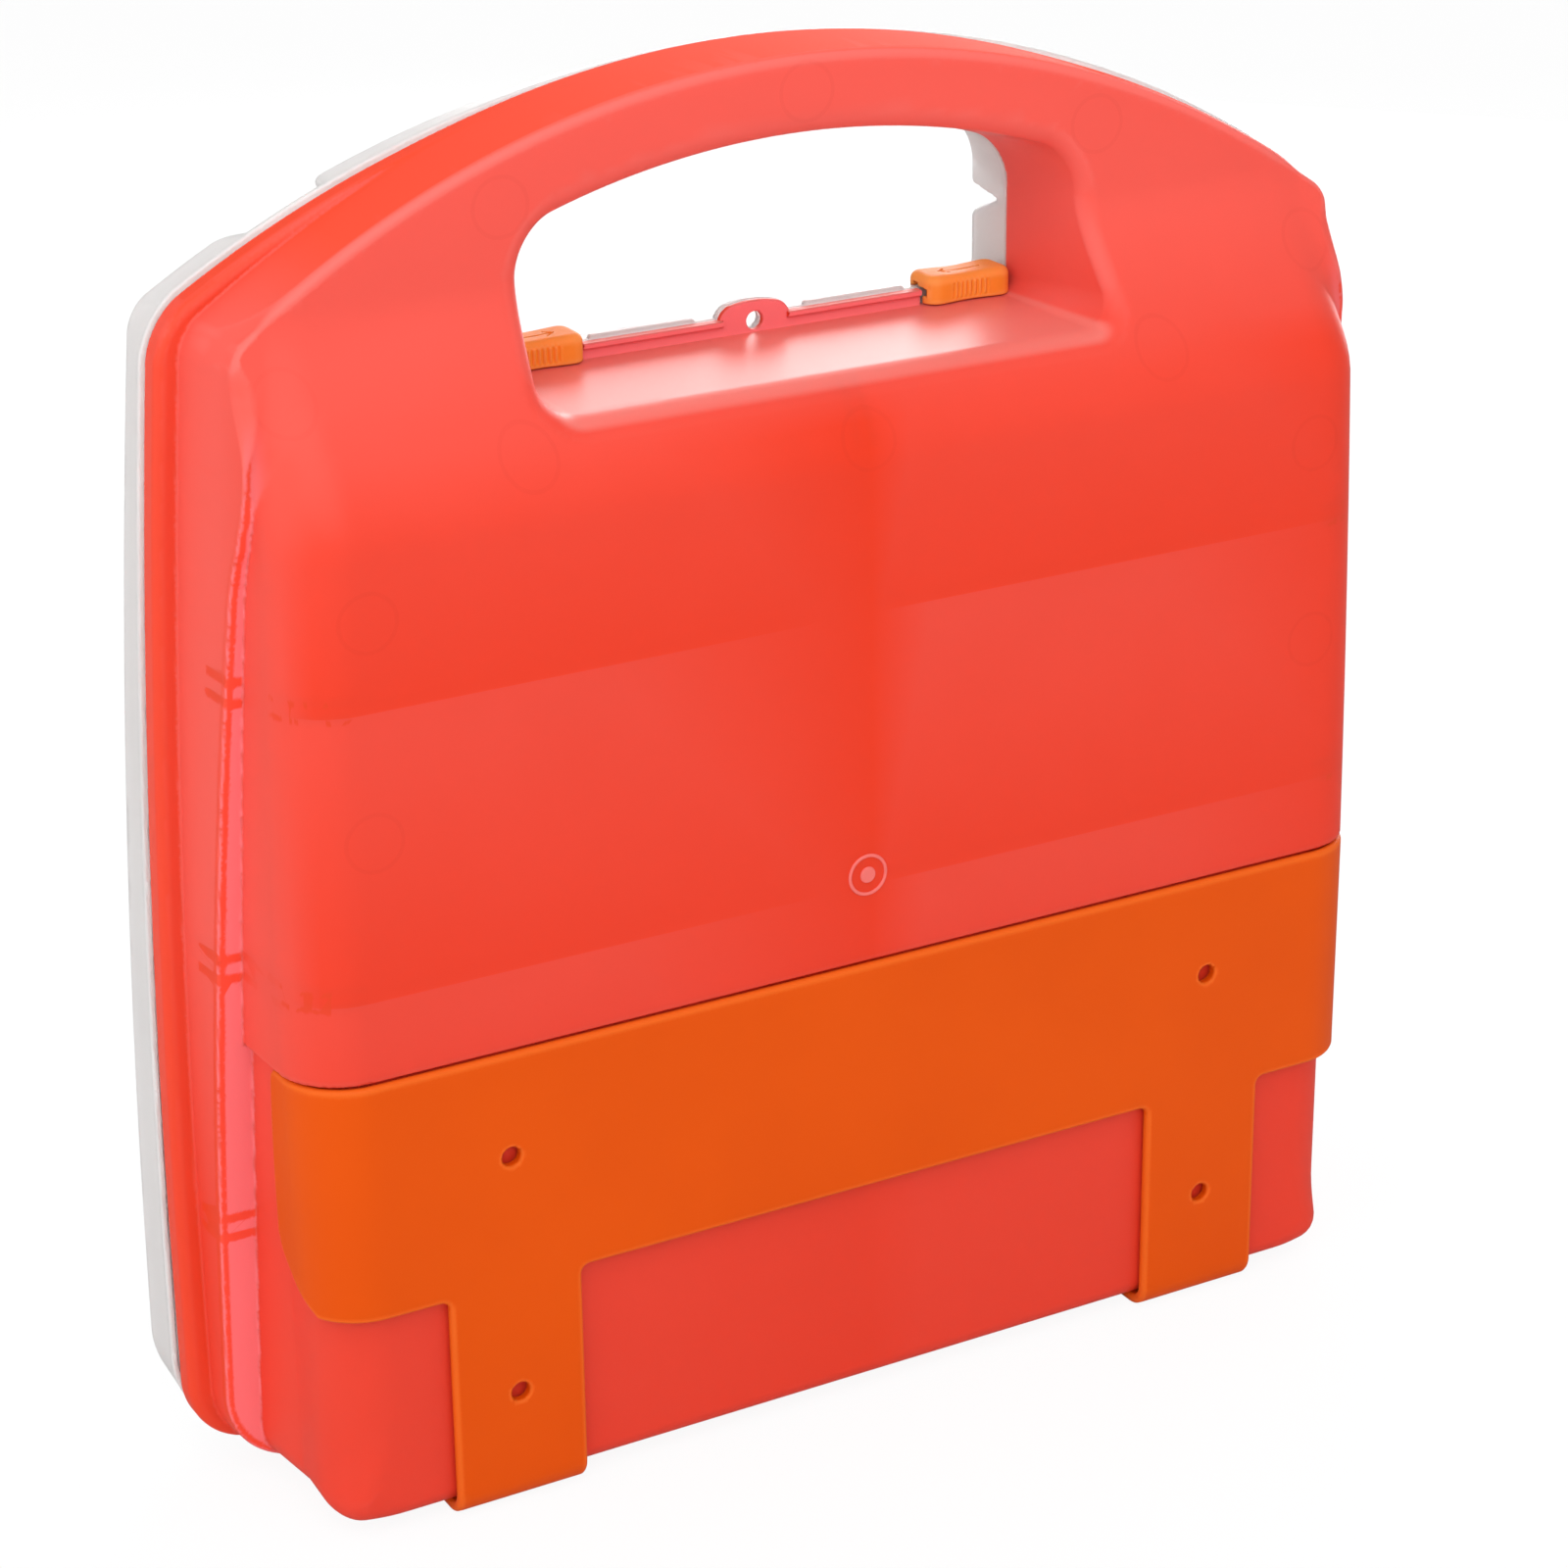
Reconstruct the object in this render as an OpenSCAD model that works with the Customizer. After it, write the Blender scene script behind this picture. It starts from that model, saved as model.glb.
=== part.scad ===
// Portable first aid case with a clear front lid, hanging in a wall bracket.
// +Z is up, the lid faces -Y and the wall is on the +Y side.
// The origin is at the middle of the base, on the surface the bracket stands on.
// Depths are distances from the wall plane, measured forwards.

/* [Rim] */
// Width of the rim at the base
rim_w = 300; // [240:1:360]
// Height of the rim from its lower edge to the top of the arch
rim_h = 300; // [250:1:360]
// Height of the rim's lower edge above the base of the shell
rim_lift = 3; // [2:0.5:6]
// Radius of the arch over the handle
rim_arch_r = 245; // [225:1:320]
// How far each side leans in between the base and the shoulder
rim_lean = 9; // [0:0.5:14]
// Radius of the lower corners of the rim
rim_corner_r = 22; // [10:1:30]
// Radius of the shoulders of the rim
shoulder_r = 13; // [6:1:20]
// Width of the rim beyond the side walls
lip_w = 7; // [5:0.5:10]
// Depth of the rim's edge
lip_d = 6.5; // [4:0.5:9]

/* [Shell] */
// Depth from the wall plane to the front edge of the shell
shell_d = 52.5; // [46:0.5:64]
// Wall of the shell and the lid
wall = 2.2; // [1.6:0.1:3]
// Radius of the arch along the back of the handle
handle_arch_r = 224; // [210:1:300]
// Drop from the top of the rim to the top of the handle's back
handle_drop = 1.5; // [1:0.5:5]
// Depth of the handle's back face
handle_d = 24; // [20:0.5:30]
// Distance that the rear body's sides lie inside the rim
body_inset = 16; // [14:0.5:30]
// Radius of the rear upright corners
body_corner_r = 14; // [6:1:20]
// Radius of the lower rear edge
base_edge_r = 5; // [4:0.5:7]
// Radius of the rear body's lower corners, seen from behind
body_base_r = 15; // [6:1:20]
// Depth of the back face above the bracket
back_d = 1.2; // [0.8:0.1:2]
// Distance from the top of the rim down to where the back starts to sweep forwards
sweep_drop = 82.5; // [76:0.5:110]
// Height of the sweep up to the handle's back
sweep_h = 45; // [30:1:60]
// Depth of the side step at the base
step_low_d = 43; // [34:0.5:45]
// Depth of the side step at the top
step_high_d = 17; // [10:0.5:20]

/* [Hand opening] */
// Distance from the top of the rim down to the opening's floor
floor_drop = 64.5; // [58:0.5:75]
// Width of the hand opening
open_w = 136; // [110:1:150]
// Height of the hand opening at its middle
open_h = 46; // [40:1:50]
// Radius of the opening's arch
open_arch_r = 193; // [170:1:240]
// Radius of the opening's upper corners
open_corner_r = 14; // [6:1:20]
// Radius of the opening's lower corners
open_floor_r = 3; // [2:0.5:4]

/* [Lid] */
// Depth of the lid from its edge to its front
lid_d = 19.7; // [14:0.1:30]
// Depth of the lid's rim
lid_rim_d = 7.5; // [5:0.5:9]
// Distance that the raised front lies inside the rim
crown_inset = 9; // [6:0.5:14]
// Distance from the top of the rim down to the groove's start beside the opening
groove_drop = 48; // [44:0.5:56]
// Angle at which the groove climbs from the opening to the arch
groove_climb = 35; // [0:1:45]
// Width of the groove
groove_w = 5; // [3:0.5:8]
// Depth of the groove
groove_depth = 8; // [4:0.5:9]

/* [Hinge] */
// Radius of the hinge pins
pin_r = 1.2; // [0.8:0.1:1.4]
// Radius of the hinge knuckles
knuckle_r = 2.4; // [2.1:0.1:2.6]
// Length of a shell knuckle
knuckle_l = 18; // [10:1:30]
// Length of each lid ear beside a knuckle
ear_l = 8; // [5:1:14]
// Distance of each hinge from the middle
hinge_x = 85; // [50:1:100]
// Distance of the hinge axis in front of the shell's edge
hinge_fore = 3.5; // [3:0.1:5]
// Distance of the hinge axis below the lid's lower edge
hinge_drop = 1.9; // [1.5:0.1:2.5]

/* [Latches] */
// Length of a latch
latch_l = 22; // [18:0.5:26]
// Wall of a latch
latch_t = 2; // [1.6:0.1:2.5]
// Bevel along the upper edges of a latch
latch_bevel = 1.2; // [0.5:0.1:1.5]
// Number of grip ribs on the back of a latch
grips = 7; // [3:1:9]
// Height of a grip rib, and half its width
grip_h = 0.5; // [0.3:0.1:0.8]
// Height of the closing rails above the floor of the opening
rail_h = 3.5; // [3:0.1:6]
// Thickness of the closing rails
rail_t = 1.5; // [1.2:0.1:2]
// Width and height of the beads along the rails
bead = 1.2; // [0.8:0.1:1.6]
// Height of the fin on the lid's rail
fin_h = 0.8; // [0.5:0.1:1.6]
// Width of the seal tabs
tab_w = 18; // [12:1:22]
// Height of the seal tabs
tab_h = 7; // [6:0.5:10]
// Radius of the seal tabs' upper corners
tab_corner_r = 4.5; // [1:0.5:5]
// Diameter of the seal hole
seal_hole_d = 4; // [2:0.5:4.5]
// Height of the seal hole above the floor of the opening
seal_hole_lift = 2.5; // [2.5:0.1:4]

/* [Bracket] */
// Thickness of the bracket
bracket_t = 2.5; // [2:0.1:3.5]
// Lower edge of the bracket's band
band_z0 = 54.5; // [45:0.5:65]
// Upper edge of the bracket's band
band_z1 = 109.3; // [95:0.1:125]
// Depth of the ears that hold the case's sides
bracket_ear_d = 23; // [16:0.5:26]
// Height of the slant under each ear
ear_cut_h = 13; // [6:1:20]
// Length of the slant under each ear
ear_cut_l = 15; // [8:1:16]
// Width of a bracket leg
leg_w = 31.6; // [20:0.1:40]
// Depth of the feet under the case
foot_d = 46; // [38:0.5:48]
// Outer radius of the bend between leg and foot
foot_bend_r = 6; // [5:0.5:8]
// Distance between the screw holes, sideways
hole_pitch_x = 180; // [150:1:200]
// Distance between the screw holes, upright
hole_pitch_z = 57.3; // [50:0.1:65]
// Height of the lower screw holes
hole_z = 28; // [20:0.5:34]
// Diameter of the screw holes
screw_hole_d = 4.5; // [3:0.1:6]

/* [Dividers] */
// Thickness of the dividers
plate_t = 2; // [1.5:0.1:3]
// Distance from the opening's floor down to the upper shelf
shelf_drop = 48; // [40:1:60]
// Distance between shelves
shelf_pitch = 63; // [50:1:66]
// Depth of the front edge of the dividers
plate_front_d = 48; // [46:0.5:50]
// Draft of the shelves' outer edges
shelf_draft = 5.6; // [0:0.1:6]
// Height of the holding ribs above the wall
rib_h = 2.5; // [1.5:0.5:4]
// Thickness of the holding ribs
rib_t = 1.2; // [0.8:0.1:2]
// Length of the holding ribs
rib_l = 7; // [4:0.5:10]
// Distance of the holding ribs from the rear wall's inner face
rib_back = 7; // [6.5:0.5:12]

/* [Fits] */
// Gap between shell and lid
rim_gap = 0.3; // [0.2:0.05:0.5]
// Gap between case and bracket
bracket_gap = 0.3; // [0.2:0.05:0.5]
// Gap round a latch
latch_gap = 0.3; // [0.2:0.05:0.4]
// Gap round a divider
plate_gap = 0.25; // [0.15:0.05:0.4]
// Running clearance of a pin in a shell knuckle
pin_run = 0.05; // [0.02:0.01:0.1]
// Clearance of a pin in a lid ear
pin_seat = 0.02; // [0.01:0.01:0.05]
// Gap beside and round a knuckle
knuckle_gap = 0.4; // [0.3:0.05:0.6]

/* [Hidden] */

$fn = 48;
LEFT = -1;
RIGHT = 1;
past = 1;
least_r = 2;
shell_red = [0.98, 0.27, 0.20, 0.85];
lid_white = [0.90, 0.88, 0.87, 0.6];
part_orange = [0.91, 0.36, 0.05];
plate_white = [0.92, 0.91, 0.90, 0.7];

wall_y = (shell_d + rim_gap + lid_d) / 2;
base_z = bracket_t;
rim_z = base_z + rim_lift;
rim_top = rim_z + rim_h;
floor_z = rim_top - floor_drop;
sweep_z0 = rim_top - sweep_drop;
sweep_z1 = sweep_z0 + sweep_h;
groove_z = rim_top - groove_drop;
bow_z = rim_z + 2 * rim_corner_r;
shoulder_z = rim_top - rim_arch_r + sqrt(pow(rim_arch_r, 2) - pow(rim_w / 2, 2));
recess_d = bracket_t + bracket_gap;
body_half_w = rim_w / 2 - body_inset;
recess_half_w = body_half_w - (recess_d - back_d);
recess_corner_r = body_corner_r - (recess_d - back_d);
ledge_z = band_z1 + bracket_gap;
lid_edge_d = shell_d + rim_gap;
lid_front_d = lid_edge_d + lid_d;
open_top = floor_z + open_h;
crown_base_d = lid_front_d - groove_depth;

hinge_d = shell_d + hinge_fore;
hinge_z = rim_z - hinge_drop;

shell_rail_d = lid_edge_d - rim_gap - rail_t;
lid_rail_d = lid_edge_d + rim_gap;
bead_z = floor_z + rail_h - bead;
latch_park_x = open_w / 2 - open_floor_r - latch_gap - latch_l;
rail_end_x = open_w / 2 - open_floor_r;
relief_x = latch_park_x - latch_gap;
fin_x0 = tab_w / 2 + latch_gap;
latch_base_z = floor_z + latch_gap;
latch_ceiling_z = floor_z + rail_h + fin_h + latch_gap;
latch_back_d = shell_rail_d - bead - latch_gap - latch_t;
latch_front_d = lid_rail_d + rail_t + bead + latch_gap + latch_t;

shelf_zs = [for (i = [0:2]) floor_z - shelf_drop - i * shelf_pitch];

// Y of a point at a depth from the wall plane
function fw(d) = wall_y - d;

// Half width of the rim at a height
function side_x(z) =
    let(t = max(0, z - bow_z) / (shoulder_z - bow_z))
    rim_w / 2 - rim_lean * t * t;

// Points of an arc
function arc(cx, cy, r, a0, a1, n) =
    [for (i = [0:n]) let(a = a0 + (a1 - a0) * i / n) [cx + r * cos(a), cy + r * sin(a)]];

function mirrored(p) = [for (i = [len(p) - 1:-1:0]) [-p[i][0], p[i][1]]];

// Front outline: straight base, round corners, leaning sides and an arch
function outline(inset, bottom, arch_r, top) =
    let(rc = max(rim_corner_r - inset, least_r),
        rs = max(shoulder_r - inset, least_r),
        z0 = bottom + rc,
        cx = side_x(shoulder_z) - inset - rs,
        rise = sqrt(pow(arch_r - rs, 2) - cx * cx),
        cz = top - arch_r + rise,
        turn = atan2(rise, cx),
        steps = 8,
        half = concat(
            arc(rim_w / 2 - inset - rc, z0, rc, -90, 0, 6),
            [for (i = [1:steps - 1]) let(z = z0 + (cz - z0) * i / steps) [side_x(z) - inset, z]],
            arc(cx, cz, rs, 0, turn, 4),
            [for (i = [1:7]) let(a = turn + (90 - turn) * i / 8)
                [arch_r * cos(a), top - arch_r + arch_r * sin(a)]]))
    concat(half, [[0, top]], mirrored(half));

function rim_outline(e) = outline(e, rim_z + e, rim_arch_r - e, rim_top - e);
function tray_outline(e) = outline(lip_w + e, base_z + e, handle_arch_r - e, rim_top - handle_drop - e);

// Outline of the hand opening, grown by g
function opening_outline(g) =
    let(x = open_w / 2 + g,
        rf = open_floor_r + g,
        rs = open_corner_r + g,
        r = open_arch_r + g,
        top = open_top + g,
        cx = x - rs,
        rise = sqrt(pow(r - rs, 2) - cx * cx),
        turn = atan2(rise, cx),
        half = concat(
            arc(x - rf, floor_z - g + rf, rf, -90, 0, 3),
            arc(cx, top - r + rise, rs, 0, turn, 6),
            [for (i = [1:5]) let(a = turn + (90 - turn) * i / 6)
                [r * cos(a), top - r + r * sin(a)]]))
    concat(half, [[0, top]], mirrored(half));

// Depth of the side step at a height
function step_d(z) =
    let(t = min(1, (z - base_z) / (sweep_z0 - base_z)))
    step_low_d - (step_low_d - step_high_d) * t * t;

// Depth along the sweep from one depth to another
function sweep(d0, d1, t) = d0 + (d1 - d0) * (1 - cos(180 * t)) / 2;

// Depth of the rear wall's inner face at a height
function inner_back_d(z) = (z < ledge_z ? recess_d : back_d) + wall;

// Half width of the rear body's inner face at a height
function inner_body_x(z) = (z < ledge_z ? recess_half_w : body_half_w) - wall;

// Extrude a front view between two depths
module extrude_y(d0, d1) {
    translate([0, fw(d0), 0]) rotate([90, 0, 0]) linear_extrude(d1 - d0) children();
}

// Extrude a side view, drawn in Y and Z, between two places along X
module extrude_x(x0, x1) {
    translate([x0, 0, 0]) rotate([90, 0, 90]) linear_extrude(x1 - x0) children();
}

// A rod along X at a depth and height
module rod_x(x0, x1, d, z, r) {
    translate([x0, fw(d), z]) rotate([0, 90, 0]) cylinder(r = r, h = x1 - x0);
}

// A block between two places along X, two depths and two heights
module block(x0, x1, d0, d1, z0, z1) {
    translate([x0, fw(d1), z0]) cube([x1 - x0, d1 - d0, z1 - z0]);
}

// Plan of the rear body with round back corners
module body_plan(half_w, back, r, front) {
    right = arc(half_w - r, fw(back + r), r, 0, 90, 6);
    polygon(concat([[half_w, fw(front)]], right, mirrored(right), [[-half_w, fw(front)]]));
}

// The rear body seen from behind, with round lower corners
module body_front(half_w, bottom, r, top) {
    right = arc(half_w - r, bottom + r, r, -90, 0, 6);
    polygon(concat(right, [[half_w, top], [-half_w, top]], mirrored(right)));
}

// The wide front part of the shell, behind which the body steps in
module tray(e, front) {
    rows = 10;
    lean = [for (i = [0:rows]) let(z = base_z + (sweep_z0 - base_z) * i / rows)
        [fw(step_d(z) + e), z]];
    bend = [for (i = [1:rows]) let(t = i / rows)
        [fw(sweep(step_high_d, handle_d, t) + e), sweep_z0 + (sweep_z1 - sweep_z0) * t]];
    intersection() {
        extrude_y(0, front) polygon(tray_outline(e));
        extrude_x(-rim_w, rim_w) polygon(concat(
            [[fw(front + past), base_z - past], [fw(step_low_d + e), base_z - past]], lean, bend,
            [[fw(handle_d + e), rim_top + past], [fw(front + past), rim_top + past]]));
    }
}

// The rear body below the bracket's upper edge
module lower_body(e, front) {
    r = base_edge_r;
    edge = arc(fw(recess_d + e + r), base_z + e + r, r, -90, 0, 4);
    intersection() {
        extrude_x(-rim_w, rim_w) polygon(concat(
            [[fw(front), base_z + e]], edge,
            [[fw(recess_d + e), ledge_z + e], [fw(front), ledge_z + e]]));
        linear_extrude(ledge_z + wall)
            body_plan(recess_half_w - e, recess_d + e, recess_corner_r - e, front);
        extrude_y(0, front)
            body_front(recess_half_w - e, base_z + e, body_base_r - e, ledge_z + wall);
    }
}

// The rear body above the bracket, swept forwards to the handle
module upper_body(e, front) {
    rows = 12;
    bend = [for (i = [0:rows]) let(t = i / rows)
        [fw(sweep(back_d, handle_d, t) + e), sweep_z0 + (sweep_z1 - sweep_z0) * t]];
    intersection() {
        extrude_x(-rim_w, rim_w) polygon(concat(
            [[fw(front), ledge_z + e], [fw(back_d + e), ledge_z + e]], bend,
            [[fw(handle_d + e), rim_top + past], [fw(front), rim_top + past]]));
        linear_extrude(rim_top + past)
            body_plan(body_half_w - e, back_d + e, body_corner_r - e, front);
        extrude_y(0, front) polygon(tray_outline(e));
    }
}

module shell_form(e, front) {
    tray(e, front);
    lower_body(e, front);
    upper_body(e, front);
}

// The hand opening as a bar through the case, grown by g
module opening_bar(g) {
    extrude_y(-past, lid_front_d + past) polygon(opening_outline(g));
}

// The edge that carries the rim round the shell, hollow towards the lid
module shell_rim() {
    difference() {
        extrude_y(shell_d - lip_d, shell_d) polygon(rim_outline(0));
        extrude_y(shell_d - lip_d + wall, shell_d + past) polygon(rim_outline(wall));
        extrude_y(0, shell_d + past) polygon(tray_outline(wall));
    }
}

// A closing rail with its bead, from the tab outwards
module rail(side, d, bead_d, x1) {
    x0 = tab_w / 2;
    z1 = floor_z + rail_h;
    on_side(side) union() {
        block(x0, x1, d, d + rail_t, floor_z - wall / 2, z1);
        block(x0, x1, bead_d, bead_d + bead, bead_z, z1);
    }
}

// Mirror to the left where side is LEFT
module on_side(side) {
    mirror([side == LEFT ? 1 : 0, 0, 0]) children();
}

// A seal tab with a round head and its hole
module seal_tab(d) {
    r = tab_corner_r;
    half = concat([[tab_w / 2, floor_z - wall / 2]],
        arc(tab_w / 2 - r, floor_z + tab_h - r, r, 0, 90, 5));
    difference() {
        extrude_y(d, d + rail_t) polygon(concat(half, mirrored(half)));
        translate([0, fw(d - past), floor_z + seal_hole_lift]) rotate([90, 0, 0])
            cylinder(d = seal_hole_d, h = rail_t + 2 * past);
    }
}

// Pairs of ribs that hold the shelves at the rear side walls
module shelf_ribs() {
    for (side = [LEFT, RIGHT], z = shelf_zs, below = [0, 1]) {
        x1 = inner_body_x(z);
        d0 = inner_back_d(z) + rib_back;
        z0 = below ? z - plate_t - plate_gap - rib_t : z + plate_gap;
        on_side(side) block(x1 - rib_h, x1 + wall / 2, d0, d0 + rib_l, z0, z0 + rib_t);
    }
}

// Pairs of ribs that hold the divider under the opening and on the base
module divider_ribs() {
    under = floor_z - wall;
    d0 = inner_back_d(under) + 2 * rib_back;
    for (side = [LEFT, RIGHT]) {
        x0 = plate_t / 2 + plate_gap;
        on_side(side) block(x0, x0 + rib_t, d0, d0 + rib_l, under - rib_h, under + wall / 2);
        on_side(side) block(x0, x0 + rib_t, d0, d0 + rib_l, base_z + wall / 2, base_z + wall + rib_h);
    }
}

// Knuckles under the shell's front edge, each on a short arm
module shell_knuckles() {
    for (side = [LEFT, RIGHT]) {
        x0 = side * hinge_x - knuckle_l / 2;
        block(x0, x0 + knuckle_l, shell_d - lip_d, hinge_d, base_z, base_z + wall);
        rod_x(x0, x0 + knuckle_l, hinge_d, hinge_z, knuckle_r);
    }
}

module hinge_bores(r) {
    for (side = [LEFT, RIGHT]) {
        reach = knuckle_l / 2 + ear_l + knuckle_gap + past;
        rod_x(side * hinge_x - reach, side * hinge_x + reach, hinge_d, hinge_z, r);
    }
}

module back_shell() {
    color(shell_red) difference() {
        union() {
            difference() {
                union() {
                    shell_form(0, shell_d);
                    shell_rim();
                }
                difference() {
                    shell_form(wall, shell_d + past);
                    opening_bar(wall);
                }
                opening_bar(0);
            }
            for (side = [LEFT, RIGHT]) rail(side, shell_rail_d, shell_rail_d - bead, relief_x);
            seal_tab(shell_rail_d);
            shelf_ribs();
            divider_ribs();
            shell_knuckles();
        }
        hinge_bores(pin_r + pin_run);
    }
}

// The lid's rim, raised panel and raised handle, inset by e
module lid_form(e) {
    d0 = e > 0 ? lid_edge_d - past : lid_edge_d;
    extrude_y(d0, lid_edge_d + lid_rim_d - e) polygon(rim_outline(e));
    extrude_y(d0, crown_base_d - e) polygon(rim_outline(crown_inset + e));
    difference() {
        extrude_y(d0, lid_front_d - e) polygon(rim_outline(crown_inset + e));
        for (side = [LEFT, RIGHT]) on_side(side)
            translate([open_w / 2, 0, groove_z]) rotate([0, -groove_climb, 0])
                block(-groove_w, rim_w, 0, 2 * lid_front_d, -groove_w / 2 - e, groove_w / 2 + e);
    }
}

// Ears under the lid, on both sides of each knuckle
module lid_ears() {
    for (side = [LEFT, RIGHT], end = [LEFT, RIGHT]) {
        near = knuckle_l / 2 + knuckle_gap;
        mid = side * hinge_x + end * (near + ear_l / 2);
        rod_x(mid - ear_l / 2, mid + ear_l / 2, hinge_d, hinge_z, knuckle_r);
        block(mid - ear_l / 2, mid + ear_l / 2, hinge_d - knuckle_r, hinge_d + knuckle_r,
            hinge_z, rim_z + wall / 2);
    }
}

module lid() {
    color(lid_white) difference() {
        union() {
            difference() {
                lid_form(0);
                difference() {
                    lid_form(wall);
                    opening_bar(wall);
                }
                opening_bar(0);
            }
            for (side = [LEFT, RIGHT]) {
                rail(side, lid_rail_d, lid_rail_d + rail_t, rail_end_x);
                on_side(side) block(fin_x0, relief_x, lid_rail_d, lid_rail_d + rail_t,
                    floor_z, floor_z + rail_h + fin_h);
            }
            seal_tab(lid_rail_d);
            lid_ears();
        }
        hinge_bores(pin_r + pin_seat);
        for (side = [LEFT, RIGHT]) {
            reach = knuckle_l / 2 + knuckle_gap;
            rod_x(side * hinge_x - reach, side * hinge_x + reach, hinge_d, hinge_z,
                knuckle_r + knuckle_gap);
        }
    }
}

module hinge_pin(side) {
    reach = knuckle_l / 2 + knuckle_gap + ear_l;
    color(lid_white) rod_x(side * hinge_x - reach, side * hinge_x + reach, hinge_d, hinge_z, pin_r);
}

// A slider that wraps both closing rails, with grip ribs on its back
module latch(side) {
    z0 = latch_base_z;
    z1 = latch_ceiling_z + latch_t;
    claw_z = bead_z - latch_gap;
    c = latch_bevel;
    b0 = latch_back_d;
    b1 = latch_back_d + latch_t;
    f0 = latch_front_d - latch_t;
    f1 = latch_front_d;
    grip_pitch = latch_l / (grips + 2);
    color(part_orange) on_side(side) union() {
        extrude_x(latch_park_x, latch_park_x + latch_l) polygon([
            [fw(b0), z0], [fw(b0), z1 - c], [fw(b0 + c), z1],
            [fw(f1 - c), z1], [fw(f1), z1 - c], [fw(f1), z0],
            [fw(f0 - bead), z0], [fw(f0 - bead), claw_z], [fw(f0), claw_z],
            [fw(f0), latch_ceiling_z], [fw(b1), latch_ceiling_z],
            [fw(b1), claw_z], [fw(b1 + bead), claw_z], [fw(b1 + bead), z0]]);
        for (i = [1:grips]) {
            x = latch_park_x + grip_pitch * (i + 0.5);
            block(x - grip_h, x + grip_h, b0 - grip_h, b0, z0 + c, z1 - 2 * c);
        }
    }
}

// The band across the back, whose ends turn round the case
module bracket_band() {
    inner_w = recess_half_w + bracket_gap;
    inner_r = recess_corner_r + bracket_gap;
    difference() {
        translate([0, 0, band_z0]) linear_extrude(band_z1 - band_z0) difference() {
            body_plan(inner_w + bracket_t, 0, inner_r + bracket_t, bracket_ear_d);
            body_plan(inner_w, bracket_t, inner_r, bracket_ear_d + past);
        }
        extrude_x(-rim_w, rim_w) polygon([
            [fw(bracket_ear_d - ear_cut_l), band_z0 - past],
            [fw(bracket_ear_d + past), band_z0 - past],
            [fw(bracket_ear_d + past), band_z0 + ear_cut_h]]);
    }
}

// A leg down the wall with its foot under the case
module bracket_leg(side) {
    r = foot_bend_r;
    x = side * hole_pitch_x / 2;
    extrude_x(x - leg_w / 2, x + leg_w / 2) polygon(concat(
        [[fw(0), band_z0 + past]],
        arc(fw(r), r, r, 0, -90, 6),
        [[fw(foot_d), 0], [fw(foot_d), bracket_t]],
        arc(fw(r), r, r - bracket_t, -90, 0, 6),
        [[fw(bracket_t), band_z0 + past]]));
}

module wall_bracket() {
    color(part_orange) difference() {
        union() {
            bracket_band();
            for (side = [LEFT, RIGHT]) bracket_leg(side);
        }
        for (side = [LEFT, RIGHT], z = [hole_z, hole_z + hole_pitch_z])
            translate([side * hole_pitch_x / 2, fw(-past), z]) rotate([90, 0, 0])
                cylinder(d = screw_hole_d, h = bracket_t + 2 * past);
    }
}

module vertical_divider() {
    z0 = base_z + wall + plate_gap;
    z1 = floor_z - wall - plate_gap;
    x = plate_t / 2;
    low_d = recess_d + wall + base_edge_r;
    high_d = inner_back_d(floor_z) + plate_gap;
    bend = [for (i = [0:4]) let(t = i / 4 * (z1 - sweep_z0) / (sweep_z1 - sweep_z0))
        [fw(sweep(back_d, handle_d, t) + wall + 2 * plate_gap), sweep_z0 + (z1 - sweep_z0) * i / 4]];
    color(plate_white) extrude_x(-x, x) polygon(concat(
        [[fw(plate_front_d), z0], [fw(low_d), z0],
         [fw(recess_d + wall + plate_gap), z0 + base_edge_r],
         [fw(recess_d + wall + plate_gap), ledge_z + wall + plate_gap],
         [fw(high_d), ledge_z + wall + plate_gap]],
        bend, [[fw(plate_front_d), z1]]));
}

// A shelf from the divider to the side wall, notched at the side step
module shelf(side, level) {
    top = shelf_zs[level];
    z0 = top - plate_t;
    x0 = plate_t / 2 + plate_gap;
    x1 = inner_body_x(z0) - plate_gap;
    x2 = side_x(top) - lip_w - wall - plate_gap;
    d0 = inner_back_d(z0) + plate_gap;
    d1 = step_d(z0) + wall + plate_gap;
    x3 = x2 - tan(shelf_draft) * (plate_front_d - d1);
    c = body_corner_r;
    color(plate_white) on_side(side) translate([0, 0, z0]) linear_extrude(plate_t) polygon([
        [x0, fw(plate_front_d)], [x2, fw(plate_front_d)], [x3, fw(d1)], [x1, fw(d1)],
        [x1, fw(d0 + c)], [x1 - c, fw(d0)], [x0, fw(d0)]]);
}

back_shell();
lid();
hinge_pin(LEFT);  // hinge_pin_left
hinge_pin(RIGHT);  // hinge_pin_right
latch(LEFT);  // latch_left
latch(RIGHT);  // latch_right
wall_bracket();
vertical_divider();
shelf(LEFT, 0);  // upper_shelf_left
shelf(RIGHT, 0);  // upper_shelf_right
shelf(LEFT, 1);  // middle_shelf_left
shelf(RIGHT, 1);  // middle_shelf_right
shelf(LEFT, 2);  // lower_shelf_left
shelf(RIGHT, 2);  // lower_shelf_right
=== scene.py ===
import math

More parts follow.
